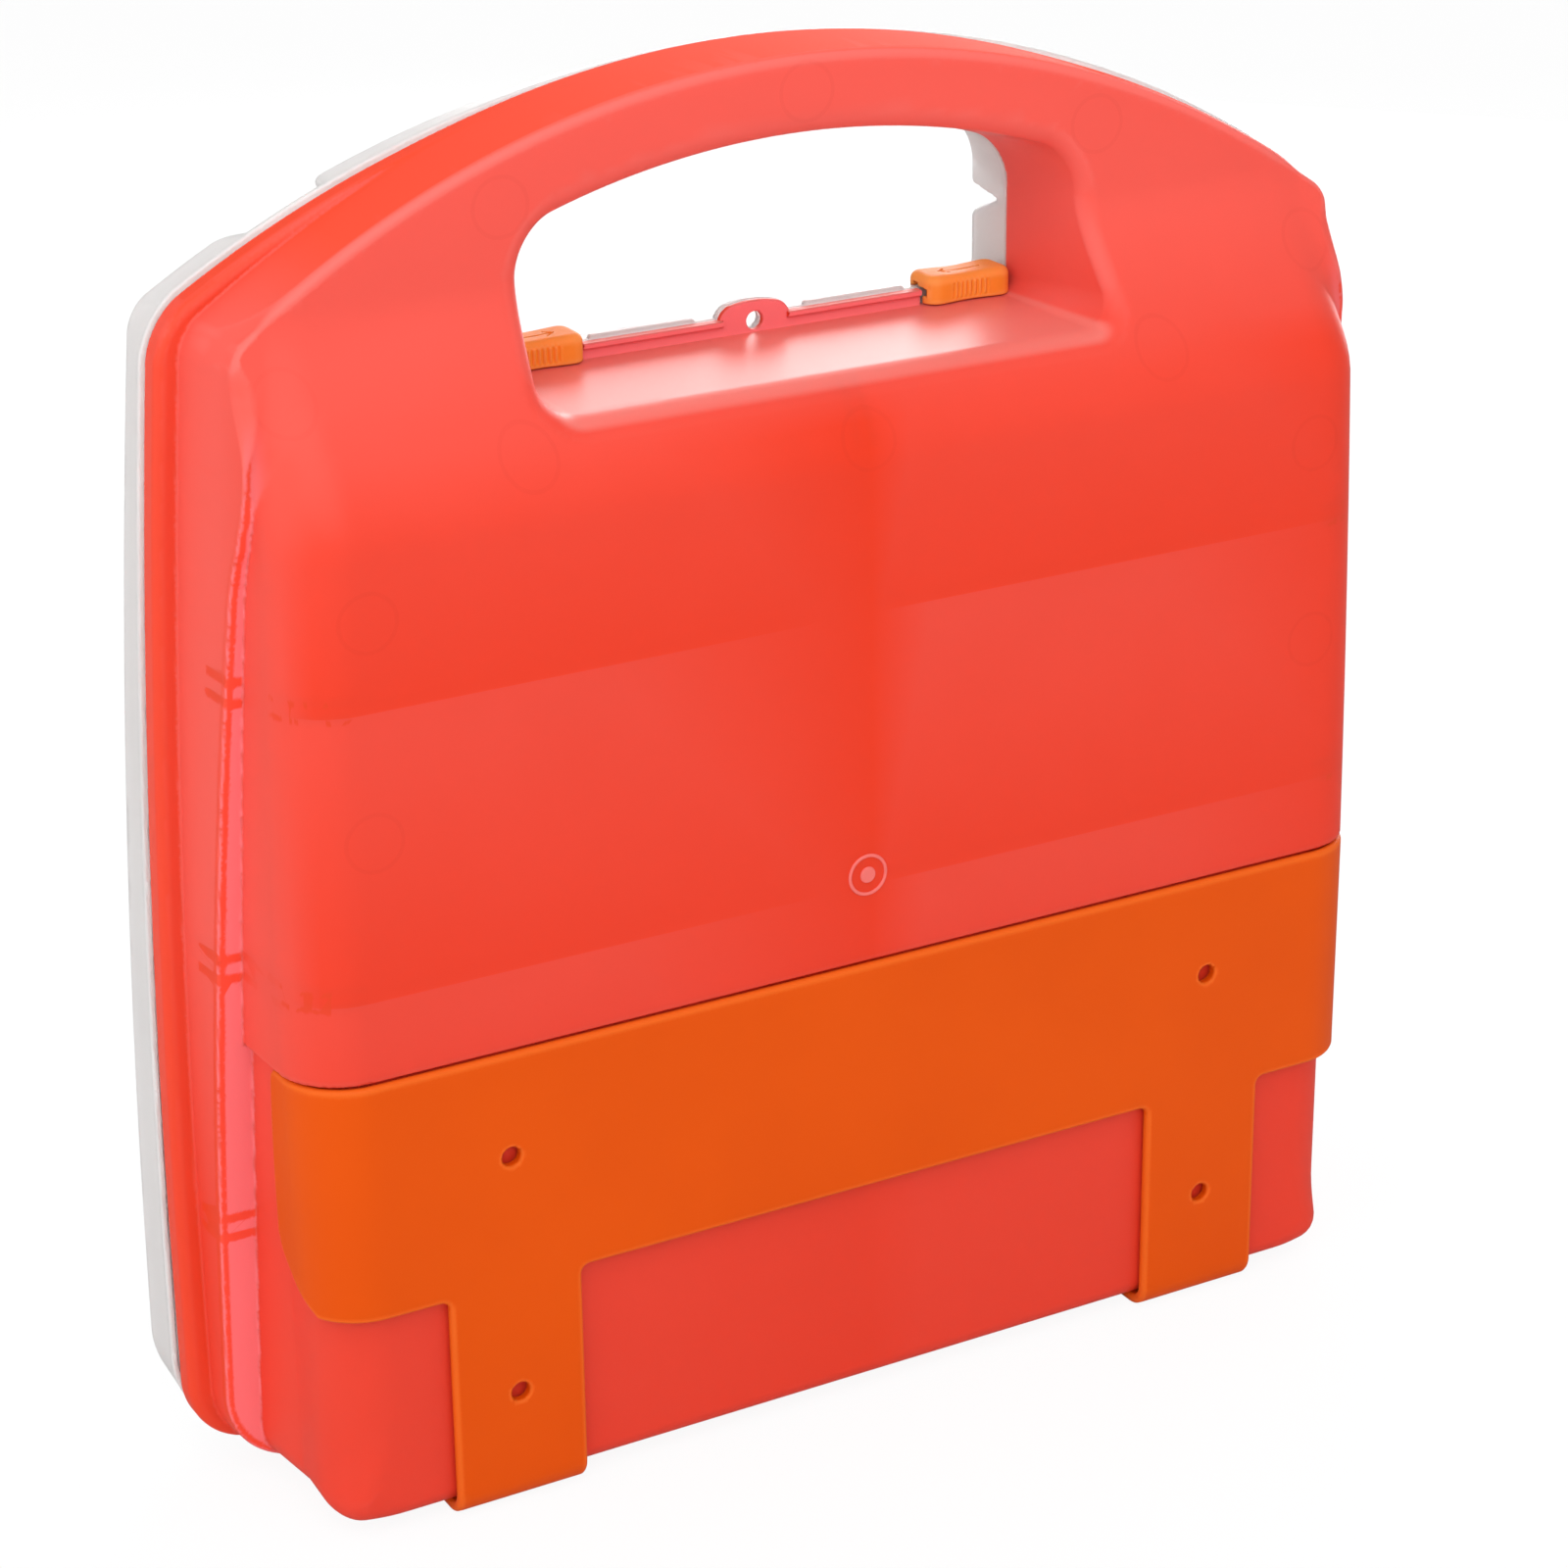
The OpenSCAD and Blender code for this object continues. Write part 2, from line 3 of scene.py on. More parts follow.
import bpy
import numpy as np
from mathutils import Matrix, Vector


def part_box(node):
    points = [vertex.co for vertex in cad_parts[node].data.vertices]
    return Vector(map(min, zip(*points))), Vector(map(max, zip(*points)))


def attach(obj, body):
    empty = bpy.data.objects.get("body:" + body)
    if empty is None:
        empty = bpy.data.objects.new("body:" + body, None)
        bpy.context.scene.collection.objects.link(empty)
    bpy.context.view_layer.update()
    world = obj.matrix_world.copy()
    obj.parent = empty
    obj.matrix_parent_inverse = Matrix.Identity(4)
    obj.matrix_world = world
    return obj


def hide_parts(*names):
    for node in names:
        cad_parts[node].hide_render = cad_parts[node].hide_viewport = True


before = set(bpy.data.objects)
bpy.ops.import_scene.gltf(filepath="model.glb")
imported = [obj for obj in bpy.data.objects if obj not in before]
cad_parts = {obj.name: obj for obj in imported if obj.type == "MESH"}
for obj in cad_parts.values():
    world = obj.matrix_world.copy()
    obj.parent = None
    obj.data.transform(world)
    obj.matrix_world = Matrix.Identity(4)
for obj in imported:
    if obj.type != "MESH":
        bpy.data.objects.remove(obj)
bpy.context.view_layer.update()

import openvdb
from mathutils import Matrix, Vector

# Shapes are solids given by signed distances in millimetres.
# x is sideways, d the depth forwards from the wall plane and z the height.
MM = 0.001


def box_mm(node):
    """Lowest and highest corner of a frame node in millimetres."""
    low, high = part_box(node)
    return low / MM, high / MM


bracket_low, bracket_high = box_mm("wall_bracket")
shell_high = box_mm("back_shell")[1]
lid_low, lid_high = box_mm("lid")
latch_low, latch_high = box_mm("latch_right")
shelf_tops = [box_mm(level + "_shelf_left")[1].z for level in ("upper", "middle", "lower")]

# Places taken from the frame
WALL_Y = bracket_high.y
RIM_HALF = shell_high.x
RIM_TOP = shell_high.z
LID_EDGE = WALL_Y - lid_high.y
LID_FRONT = WALL_Y - lid_low.y
BAND_TOP = bracket_high.z
BRACKET_HALF = bracket_high.x
FOOT_REACH = WALL_Y - bracket_low.y

# Rim and shell
RIM_GAP = 0.3
SHELL_FRONT = LID_EDGE - RIM_GAP
WALL = 2.2
BASE_Z = 2.5
RIM_Z = 5.5
RIM_ARCH_R = 255.0
RIM_LEAN = 9.0
BOW_Z = 49.5
SHOULDER_Z = 254.2
RIM_CORNER_R = 22.0
RIM_SHOULDER_R = 18.0
LIP_W = 5.9
LIP_INSET = 1.1
LIP_Z = 6.0
LIP_CORNER_R = 16.0
LIP_BACK = SHELL_FRONT - 6.5
LIP_EDGE_R = 2.4
LIP_FILLET = 0.6
CUT_EDGE_R = 0.5

# Tray behind the rim, and the handle's back
DRAFT = 0.08
HANDLE_ARCH_R = 224.0
HANDLE_TOP = RIM_TOP - 0.5
HANDLE_BACK = 24.6
HANDLE_BOW = 3.6
HANDLE_HALF = 125.0
TRAY_CORNER_R = 20.0
TRAY_SHOULDER_R = 6.0
CREST_R = 0.7
CREST_R_ARCH = 1.2
CREST_R_UPRIGHT = 4.0
CREST_Z = 240.0
CREST_H = 20.0
UPRIGHT_Z = 238.0
UPRIGHT_H = 14.0
UPRIGHT_END_Z = 254.0
UPRIGHT_END_H = 8.0
STEP_HIGH = 21.5
STEP_RUN = 24.5
STEP_BEND = 6.3
STEP_DIP = 4.8
DIP_Z = 212.0
DIP_H = 26.0
STEP_TOP_Z = 223.0
RISE_Z = 242.0
RISE_H = 26.0
SWEEP_Z0 = 223.0
SWEEP_Z1 = 268.0

# Rear body
BODY_HALF = 135.8
BODY_HALF_AT = 10.0
BODY_DRAFT = 0.04
BODY_LEAN = 5.0
BODY_BACK = 1.2
BODY_CORNER_R = 14.0
BODY_BASE_R = 7.0
BODY_BASE_GROWTH = 0.15
EDGE_BLEND = 15.0
BASE_EDGE_R = 5.0
RECESS = 1.6
RECESS_HALF = 132.4
RECESS_REACH = 23.4
RECESS_DRAFT = 0.2
LEDGE_Z = BAND_TOP + 0.3
LEDGE_BLEND = 1.2
STEP_FILLET = 0.4
PILLOW_FILLET = 2.5
PILLOW_Z = 225.0
PILLOW_H = 20.0

# Hand opening
FLOOR_Z = 241.0
OPEN_HALF = 65.6
OPEN_TOP = 286.5
OPEN_ARCH_R = 193.0
OPEN_CORNER_R = 14.0
FLOOR_CORNER_R = 3.0
FLOOR_CORNER_GROWTH = 0.12
FLARE = 0.11
MOUTH_R = 4.0

# A round corner between two faces that meet at a wide angle
WIDE_ANGLE = 0.43
MID_ANGLE = 0.65

# Meshing
BAND_CELLS = 3.0
MERGE = 0.02
BLOCK = 20
BLOCK_REACH = 1.05
GRID_MARGIN = 2
SETTLE_ROUNDS = 3
FLATTEST = 0.2
TINY = 1e-6
PROBE = 0.05
CURVE_PROBE = 0.8
THICK_PROBES = np.arange(1.0, 8.0, 0.75)
LOOKS = ("edge", "thick", "inner", "square", "floor", "arch")
REFINE_ROUNDS = 6
REFINE_LENGTH = 1.1
REFINE_CHANGE = 0.2


def inside_both(a, b, r):
    """Where a and b are both inside, with the edge between them rounded."""
    rounded = np.hypot(np.maximum(a + r, 0), np.maximum(b + r, 0))
    return np.minimum(np.maximum(a, b), -r) + rounded


def inside_either(a, b, r):
    """Where a or b is inside, with the corner between them filleted."""
    filleted = np.hypot(np.maximum(r - a, 0), np.maximum(r - b, 0))
    return np.maximum(np.minimum(a, b), r) - filleted


def between(v, low, high):
    return np.maximum(low - v, v - high)


def ease(t):
    t = np.clip(t, 0, 1)
    return t * t * (3 - 2 * t)


def eased(v, start, run):
    """From zero to one as v goes through a run that begins at start."""
    return ease((v - start) / run)


def side_x(z):
    """Half width of the rim at a height."""
    t = np.maximum(z - BOW_Z, 0) / (SHOULDER_Z - BOW_Z)
    return RIM_HALF - RIM_LEAN * t * t


def upper_rim(x, z):
    """Leaning sides under an arch."""
    side = np.abs(x) - side_x(z)
    arch = np.hypot(x, z - RIM_TOP + RIM_ARCH_R) - RIM_ARCH_R
    return inside_both(side, arch, RIM_SHOULDER_R * WIDE_ANGLE)


def rim_outline(x, z):
    """Front outline of the lid, with a straight base."""
    return inside_both(upper_rim(x, z), RIM_Z - z, RIM_CORNER_R)


def lip_outline(x, z):
    """Outline of the shell's lip, just inside the lid's."""
    return inside_both(upper_rim(x, z) + LIP_INSET, LIP_Z - z, LIP_CORNER_R)


def upper_tray(x, d, z):
    """Sides and arch of the tray, drafted at the sides."""
    side = np.abs(x) - side_x(z) + LIP_W + DRAFT * np.maximum(LIP_BACK - d, 0)
    arch = np.hypot(x, z - HANDLE_TOP + HANDLE_ARCH_R) - HANDLE_ARCH_R
    return inside_both(side, arch, TRAY_SHOULDER_R * WIDE_ANGLE)


def ledge_depth(z):
    """Depth of the tray's back ledge, which comes forwards towards the base."""
    t = np.clip((STEP_TOP_Z - z) / (STEP_TOP_Z - BASE_Z), 0, 1)
    return STEP_HIGH + STEP_RUN * t - STEP_BEND * t * t - STEP_DIP * eased(z, DIP_Z, DIP_H)


def opening(x, d, z):
    """The hand opening, wider towards the wall."""
    flare = FLARE * np.abs(SHELL_FRONT - d)
    side = np.abs(x) - OPEN_HALF - flare
    arch = np.hypot(x, z - OPEN_TOP + OPEN_ARCH_R) - OPEN_ARCH_R - flare
    upper = inside_both(side, arch, OPEN_CORNER_R * MID_ANGLE)
    corner = FLOOR_CORNER_R + FLOOR_CORNER_GROWTH * np.maximum(SHELL_FRONT - d, 0)
    return inside_both(upper, FLOOR_Z - z, corner)


def handle_back(x):
    """Depth of the handle's back, which bows away from the hand."""
    return HANDLE_BACK + HANDLE_BOW * (1 - (x / HANDLE_HALF) ** 2)


def tray(x, d, z):
    """The wide front part of the shell, with the handle above."""
    rise = handle_back(x) - STEP_HIGH + STEP_DIP
    depth = ledge_depth(z) + rise * eased(z, RISE_Z, RISE_H)
    upright = eased(z, UPRIGHT_Z, UPRIGHT_H) * (1 - eased(z, UPRIGHT_END_Z, UPRIGHT_END_H))
    crest = CREST_R + (CREST_R_ARCH - CREST_R) * eased(z, CREST_Z, CREST_H)
    crest = crest + (CREST_R_UPRIGHT - CREST_R_ARCH) * upright
    outline = inside_both(upper_tray(x, d, z), BASE_Z - z, TRAY_CORNER_R)
    return inside_both(outline, depth - d, crest)


def rear_body(x, d, z):
    """The body behind the tray, swept forwards to the handle."""
    t = np.clip((z - SWEEP_Z0) / (SWEEP_Z1 - SWEEP_Z0), 0, 1)
    rise = handle_back(x) - BODY_BACK
    slope = rise * math.pi / 2 / (SWEEP_Z1 - SWEEP_Z0) * np.sin(math.pi * t)
    below = ease((LEDGE_Z - z) / LEDGE_BLEND + 0.5)
    depth = BODY_BACK + RECESS * below + rise * (1 - np.cos(math.pi * t)) / 2
    back = (depth - d) / np.sqrt(1 + slope * slope)
    lean = BODY_LEAN * (np.maximum(z - BOW_Z, 0) / (SHOULDER_Z - BOW_Z)) ** 2
    half = BODY_HALF - lean + BODY_DRAFT * (d - BODY_HALF_AT)
    low_half = np.minimum(half, RECESS_HALF + RECESS_DRAFT * np.maximum(d - RECESS_REACH, 0))
    side = np.abs(x) - half + below * (half - low_half)
    base = BASE_Z - z
    base_r = BODY_BASE_R + BODY_BASE_GROWTH * np.maximum(d - BODY_CORNER_R, 0)
    upright = ease((side - base + EDGE_BLEND) / (2 * EDGE_BLEND))
    edge_r = BASE_EDGE_R + (BODY_CORNER_R - BASE_EDGE_R) * upright
    return inside_both(inside_both(side, base, base_r), back, edge_r)


def shell_outer(x, d, z):
    """The shell as if it were solid and had no front."""
    flange = inside_both(lip_outline(x, z), LIP_BACK - d, LIP_EDGE_R)
    body = inside_both(rear_body(x, d, z), upper_tray(x, d, z), CREST_R_ARCH)
    fillet = STEP_FILLET + PILLOW_FILLET * eased(z, PILLOW_Z, PILLOW_H)
    whole = inside_either(tray(x, d, z), body, fillet)
    whole = inside_either(whole, flange, LIP_FILLET)
    return inside_both(whole, -opening(x, d, z), MOUTH_R)


# Ribs inside the shell
RIB_H = 5.0
RIB_HALF = 0.6
RIB_REACH = 14.0
RIB_X = 120.0
RIB_SINK = 1.0
UPPER_RIB_Z = 227.0
STOP_HALF = 1.1
STOP_DEPTH = 9.0
STOP_X = 131.0
PLATE_T = 2.0
PLATE_GAP = 0.25
DIVIDER_RIB_X = PLATE_T / 2 + PLATE_GAP + RIB_HALF


def shell_ribs(x, d, z, outer):
    """Pairs of ribs that hold the shelves and the divider."""
    depth = between(-outer, WALL / 2, WALL + RIB_H)
    corner = np.maximum(depth, d - RIB_REACH)
    ribs = []
    for top in shelf_tops:
        for middle in (top + PLATE_GAP + RIB_HALF, top - PLATE_T - PLATE_GAP - RIB_HALF):
            ribs.append(np.maximum(np.abs(z - middle) - RIB_HALF, RIB_X - np.abs(x)))
    shelf = np.minimum.reduce(ribs)
    stops = []
    for top in shelf_tops:
        for middle in (top + PLATE_GAP + STOP_HALF, top - PLATE_T - PLATE_GAP - STOP_HALF):
            stops.append(np.abs(z - middle) - STOP_HALF)
    stop = np.maximum(np.minimum.reduce(stops), STOP_X - np.abs(x))
    stop = np.maximum(stop, np.maximum(d - ledge_depth(z) - STOP_DEPTH, outer + WALL / 2))
    pair = np.abs(np.abs(x) - DIVIDER_RIB_X) - RIB_HALF
    upper = np.maximum(pair, np.maximum(z - FLOOR_Z + RIB_SINK, UPPER_RIB_Z - z))
    return np.minimum(stop, np.maximum(corner, np.minimum(shelf, upper)))


def back_shell(x, d, z):
    outer = shell_outer(x, d, z)
    wall = np.maximum(outer, -outer - WALL)
    room = inside_both(upper_tray(x, d, z), BASE_Z - z, TRAY_CORNER_R) + WALL
    lip = np.maximum(outer, np.maximum(LIP_BACK - d, -room))
    wall = np.minimum(np.minimum(wall, lip), shell_ribs(x, d, z, outer))
    return inside_both(wall, d - SHELL_FRONT, CUT_EDGE_R)


# Lid
CROWN_INSET = 0.3
CROWN_GROWTH = 0.0115
CROWN_AT = 66.0
CROWN_DRAFT = 0.06
CROWN_R = 5.0
CROWN_FILLET = 0.6
LID_RIM = LID_EDGE + 2.0
LID_RIM_R = 1.2
TUNNEL_R = 4.0
TUNNEL_EDGE_R = 0.6
LID_WALL = 2.0
GROOVE_START = 8.0
GROOVE_X = 66.1
GROOVE_Z = 260.2
GROOVE_CLIMB = math.radians(31)
GROOVE_SLANT = 0.43
GROOVE_GROWTH = 0.11
GROOVE_FLOOR = 57.3
GROOVE_FALL = 0.07
GROOVE_EDGE_R = 0.8
GROOVE_EDGE_GROWTH = 0.06


def groove(x, d, z):
    """Grooves that climb from the opening to the arch, and the radius of their edges."""
    rise = math.sin(GROOVE_CLIMB)
    run = math.cos(GROOVE_CLIMB)
    along = (np.abs(x) - GROOVE_X) * run + (z - GROOVE_Z) * rise
    across = (z - GROOVE_Z) * run - (np.abs(x) - GROOVE_X) * rise
    far = np.maximum(along, 0)
    bottom = GROOVE_FLOOR - GROOVE_FALL * far
    half = GROOVE_GROWTH * far
    upper = across - half
    lower = (-across - half - (d - bottom) * GROOVE_SLANT) / math.hypot(1, GROOVE_SLANT)
    cut = inside_both(np.maximum(upper, lower), bottom - d, GROOVE_EDGE_R)
    return np.maximum(cut, -along - GROOVE_START), GROOVE_EDGE_R + GROOVE_EDGE_GROWTH * far


def lid_outer(x, d, z):
    rim = rim_outline(x, z)
    base = inside_both(rim, d - LID_RIM, LID_RIM_R)
    inset = CROWN_INSET + CROWN_GROWTH * z + CROWN_DRAFT * (d - CROWN_AT)
    crown = inside_both(rim + inset, d - LID_FRONT, CROWN_R)
    crown = inside_both(crown, -opening(x, d, z), TUNNEL_R)
    cut, edge_r = groove(x, d, z)
    crown = inside_both(crown, -cut, edge_r)
    whole = inside_either(base, crown, CROWN_FILLET)
    return inside_both(whole, -opening(x, d, z), TUNNEL_EDGE_R)


# Hinge
HINGE_D = 56.0
HINGE_Z = 3.6
HINGE_X = 85.0
KNUCKLE_R = 2.4
KNUCKLE_HALF = 9.0
BORE_R = 1.3
EAR_NEAR = 9.4
EAR_FAR = 17.4
HINGE_EDGE_R = 0.4
HINGE_GAP = 0.4
BORE_EDGE_R = 0.2
ARM_BACK = 44.0
ARM_LIFT = 0.1
ARM_EDGE_R = 0.3


def lid(x, d, z):
    outer = lid_outer(x, d, z)
    wall = np.maximum(outer, -outer - LID_WALL)
    wall = inside_both(wall, LID_EDGE - d, CUT_EDGE_R)
    room = np.hypot(d - HINGE_D, z - HINGE_Z) - KNUCKLE_R - HINGE_GAP
    room = np.maximum(room, np.abs(np.abs(x) - HINGE_X) - EAR_NEAR)
    return np.maximum(wall, -room)


def knuckle(x, d, z):
    """A knuckle of the shell on its arm."""
    rod = np.hypot(d - HINGE_D, z - HINGE_Z) - KNUCKLE_R
    height = between(z, BASE_Z + ARM_LIFT, BASE_Z + WALL)
    arm = inside_both(between(d, ARM_BACK, HINGE_D), height, ARM_EDGE_R)
    bore = np.hypot(d - HINGE_D, z - HINGE_Z) - BORE_R
    whole = inside_both(np.minimum(rod, arm), -bore, BORE_EDGE_R)
    return inside_both(whole, np.abs(np.abs(x) - HINGE_X) - KNUCKLE_HALF, HINGE_EDGE_R)


def lid_ears(x, d, z):
    """Two ears of the lid beside a knuckle."""
    rod = np.hypot(d - HINGE_D, z - HINGE_Z) - KNUCKLE_R
    block = np.maximum(np.abs(d - HINGE_D) - KNUCKLE_R, between(z, HINGE_Z, RIM_Z + LID_WALL))
    bore = np.hypot(d - HINGE_D, z - HINGE_Z) - BORE_R
    whole = inside_both(np.minimum(rod, block), -bore, BORE_EDGE_R)
    return inside_both(whole, between(np.abs(np.abs(x) - HINGE_X), EAR_NEAR, EAR_FAR), HINGE_EDGE_R)


# Closing rails and seal tabs
RAIL_T = 1.5
RAIL_EDGE_R = 0.35
RAIL_INSET = 0.3
SHELL_RAIL = SHELL_FRONT - RAIL_T
LID_RAIL = LID_EDGE + RAIL_INSET
RAIL_TOP = 244.5
BEAD = 1.2
BEAD_Z = RAIL_TOP - BEAD
BEAD_FILLET = 0.3
BAR_END_R = 0.2
SHELL_RAIL_END = 42.4
LID_RAIL_END = 65.0
FIN_TOP = 245.4
FIN_X0 = 13.5
FIN_X1 = 39.5
FIN_CORNER_R = 1.0
FOOT_R = 0.3
FOOT_MARGIN = 0.5
FOOT_OVERHANG = 1.0
SLAB_DROP = 0.1
ROOT_DEPTH = 1.1
TAB_HALF = 9.0
TAB_OVERLAP = 1.0
TAB_TOP = 248.0
TAB_ARCH = 50.0
TAB_CORNER_R = 3.2
SEAL_Z = 243.5
SEAL_R = 2.0
SEAL_EDGE_R = 0.2


def seal_tab(x, z):
    head = z - TAB_TOP + x * x / TAB_ARCH
    tab = inside_both(np.abs(x) - TAB_HALF, head, TAB_CORNER_R)
    return inside_both(tab, SEAL_R - np.hypot(x, z - SEAL_Z), SEAL_EDGE_R)


def rail(x, d, z, back, bead_back, end):
    """A thin upright rail with a bead along its top, and a tab in the middle."""
    ends = np.abs(x) - end
    web = inside_both(between(d, back, back + RAIL_T), z - RAIL_TOP, RAIL_EDGE_R)
    bead = between(d, bead_back, bead_back + RAIL_T + BEAD)
    bead = inside_both(bead, between(z, BEAD_Z, RAIL_TOP), RAIL_EDGE_R)
    bar = inside_both(inside_either(web, bead, BEAD_FILLET), ends, RAIL_EDGE_R)
    bar = inside_both(bar, TAB_HALF - TAB_OVERLAP - np.abs(x), BAR_END_R)
    tab = inside_both(seal_tab(x, z), between(d, back, back + RAIL_T), RAIL_EDGE_R)
    return np.minimum(bar, tab)


def on_floor(form, d, z, low, high):
    """A form with a fillet down to the opening's floor, cut off inside the wall."""
    slab = z - FLOOR_Z + SLAB_DROP
    footed = inside_either(form, slab, FOOT_R)
    return np.maximum(footed, np.maximum(FLOOR_Z - ROOT_DEPTH - z, between(d, low, high)))


def shell_rail(x, d, z):
    bar = rail(x, d, z, SHELL_RAIL, SHELL_RAIL - BEAD, SHELL_RAIL_END)
    footed = on_floor(bar, d, z, SHELL_RAIL - FOOT_R - FOOT_MARGIN, SHELL_FRONT)
    return np.maximum(footed, np.abs(x) - SHELL_RAIL_END - FOOT_OVERHANG)


def lid_rail(x, d, z):
    bar = rail(x, d, z, LID_RAIL, LID_RAIL, LID_RAIL_END)
    fin = inside_both(between(np.abs(x), FIN_X0, FIN_X1), z - FIN_TOP, FIN_CORNER_R)
    fin = inside_both(fin, between(d, LID_RAIL, LID_RAIL + RAIL_T), RAIL_EDGE_R)
    front = LID_RAIL + RAIL_T + FOOT_R + FOOT_MARGIN
    footed = on_floor(np.minimum(bar, fin), d, z, LID_EDGE, front)
    return np.maximum(footed, np.abs(x) - LID_RAIL_END)


# Latches
LATCH_MID = (latch_low.x + latch_high.x) / 2
LATCH_HALF = (latch_high.x - latch_low.x) / 2
LATCH_BACK = 47.5
LATCH_FRONT = 58.1
LATCH_D = (LATCH_BACK + LATCH_FRONT) / 2
LATCH_BASE = latch_low.z
LATCH_TOP = latch_high.z
LATCH_WALL = 2.0
LATCH_CLAW_Z = 243.0
LATCH_END = 1.2
LATCH_GAP = 0.25
LATCH_END_R = 3.0
LATCH_TOP_R = 1.9
LATCH_BASE_R = 0.4
LATCH_SCOOP = 0.7
SCOOP_HALF = 8.0
LATCH_SAG = 0.35
SAG_HALF = 9.0
CLAW_OVERLAP = 0.5
GRIP_PITCH = 1.25
GRIP_DEPTH = 0.22
GRIP_HALF = 4.4
GRIP_Z = 244.0
GRIP_HALF_H = 1.2
GRIP_FADE = 0.8
ARROW_DEPTH = 0.3
ARROW_HALF = 0.22
ARROW_TAIL = 5.0
ARROW_TIP = -5.5
ARROW_BARB = -3.6
ARROW_BARB_V = 1.6


def stroke(u, v, u0, v0, u1, v1):
    """Distance from a line drawn between two points."""
    du = u1 - u0
    dv = v1 - v0
    t = np.clip(((u - u0) * du + (v - v0) * dv) / (du * du + dv * dv), 0, 1)
    return np.hypot(u - u0 - t * du, v - v0 - t * dv) - ARROW_HALF


def latch_arrow(u, v):
    """An arrow that points inwards, drawn with three strokes."""
    shaft = stroke(u, v, ARROW_TAIL, 0, ARROW_TIP, 0)
    front_barb = stroke(u, v, ARROW_TIP, 0, ARROW_BARB, ARROW_BARB_V)
    back_barb = stroke(u, v, ARROW_TIP, 0, ARROW_BARB, -ARROW_BARB_V)
    return np.minimum(np.minimum(shaft, front_barb), back_barb)


def latch_room(u, v, d, z):
    """Space inside a slider for the rails' beads and the fin."""
    inner = np.abs(v) - LATCH_D + LATCH_BACK + LATCH_WALL
    room = np.maximum(np.maximum(inner, z - LATCH_TOP + LATCH_WALL), LATCH_CLAW_Z - z)
    claws = np.maximum(inner + BEAD, z - LATCH_CLAW_Z - CLAW_OVERLAP)
    beads = np.maximum(inner, z - RAIL_TOP - LATCH_GAP)
    fin = between(d, LID_RAIL - LATCH_GAP, LID_RAIL + RAIL_T + LATCH_GAP)
    fin = np.maximum(fin, z - FIN_TOP - LATCH_GAP)
    middle = np.abs(u) - LATCH_HALF + LATCH_END
    return np.maximum(np.minimum(room, claws), np.minimum(np.minimum(beads, fin), middle))


def latch(x, d, z):
    """A slider that wraps both closing rails, with grips and an arrow."""
    u = np.abs(x) - LATCH_MID
    v = d - LATCH_D
    scoop = LATCH_SCOOP * (1 - ease(np.abs(u) / SCOOP_HALF))
    ribs = GRIP_DEPTH * np.cos(2 * math.pi * u / GRIP_PITCH)
    ribs = ribs * (1 - eased(np.abs(u), GRIP_HALF, GRIP_FADE))
    ribs = ribs * (1 - eased(np.abs(z - GRIP_Z), GRIP_HALF_H, GRIP_FADE))
    side = np.maximum(LATCH_BACK + scoop - ribs - d, d - LATCH_FRONT)
    plan = inside_both(side, np.abs(u) - LATCH_HALF, LATCH_END_R)
    sag = LATCH_SAG * (1 - ease(np.abs(u) / SAG_HALF))
    block = inside_both(plan, z - LATCH_TOP + sag, LATCH_TOP_R)
    block = inside_both(block, LATCH_BASE - z, LATCH_BASE_R)
    arrow = np.maximum(latch_arrow(u, v), LATCH_TOP - sag - ARROW_DEPTH - z)
    return np.maximum(np.maximum(block, -latch_room(u, v, d, z)), -arrow)


# Dividers
PLATE_FRONT = 48.0
PLATE_EDGE_R = 0.4


def inner_room(x, d, z):
    """The space inside the shell, less the dividers' gap."""
    return np.maximum(shell_outer(x, d, z) + WALL + PLATE_GAP, d - PLATE_FRONT)


def vertical_divider(x, d, z):
    return inside_both(inner_room(x, d, z), np.abs(x) - PLATE_T / 2, PLATE_EDGE_R)


def shelf_at(top):
    def shelf(x, d, z):
        plan = np.maximum(inner_room(x, d, z), PLATE_T / 2 + PLATE_GAP - np.abs(x))
        return inside_both(plan, between(z, top - PLATE_T, top), PLATE_EDGE_R)
    return shelf


# Gate mark on the back
GATE_X = 1.3
GATE_Z = 130.5
GATE_RING_R = 4.5
GATE_RING_T = 0.4
GATE_NUB_R = 1.5


def gate_mark(x, d, z):
    r = np.hypot(x - GATE_X, z - GATE_Z)
    ring = np.hypot(r - GATE_RING_R, d - BODY_BACK) - GATE_RING_T
    nub = np.hypot(np.maximum(r - GATE_NUB_R, 0), d - BODY_BACK) - GATE_RING_T
    return np.minimum(ring, nub)


# Bracket
SHEET = 2.5
SHEET_EDGE_R = 1.1
BAND_EDGE_R = 0.5
BAND_Z0 = 54.5
EAR_REACH = 23.0
EAR_BOW = 1.5
EAR_CUT_H = 13.0
EAR_CUT_L = 15.0
EAR_CORNER_R = 3.0
LEG_X = 90.0
LEG_HALF = 15.8
LEG_FILLET = 2.0
FOOT_CORNER_R = 3.0
FOOT_BEND_R = 6.0
HOLE_R = 2.25
HOLE_ZS = (28.0, 85.3)
HOLE_EDGE_R = 0.4
BRACKET_CORNER_R = 15.2


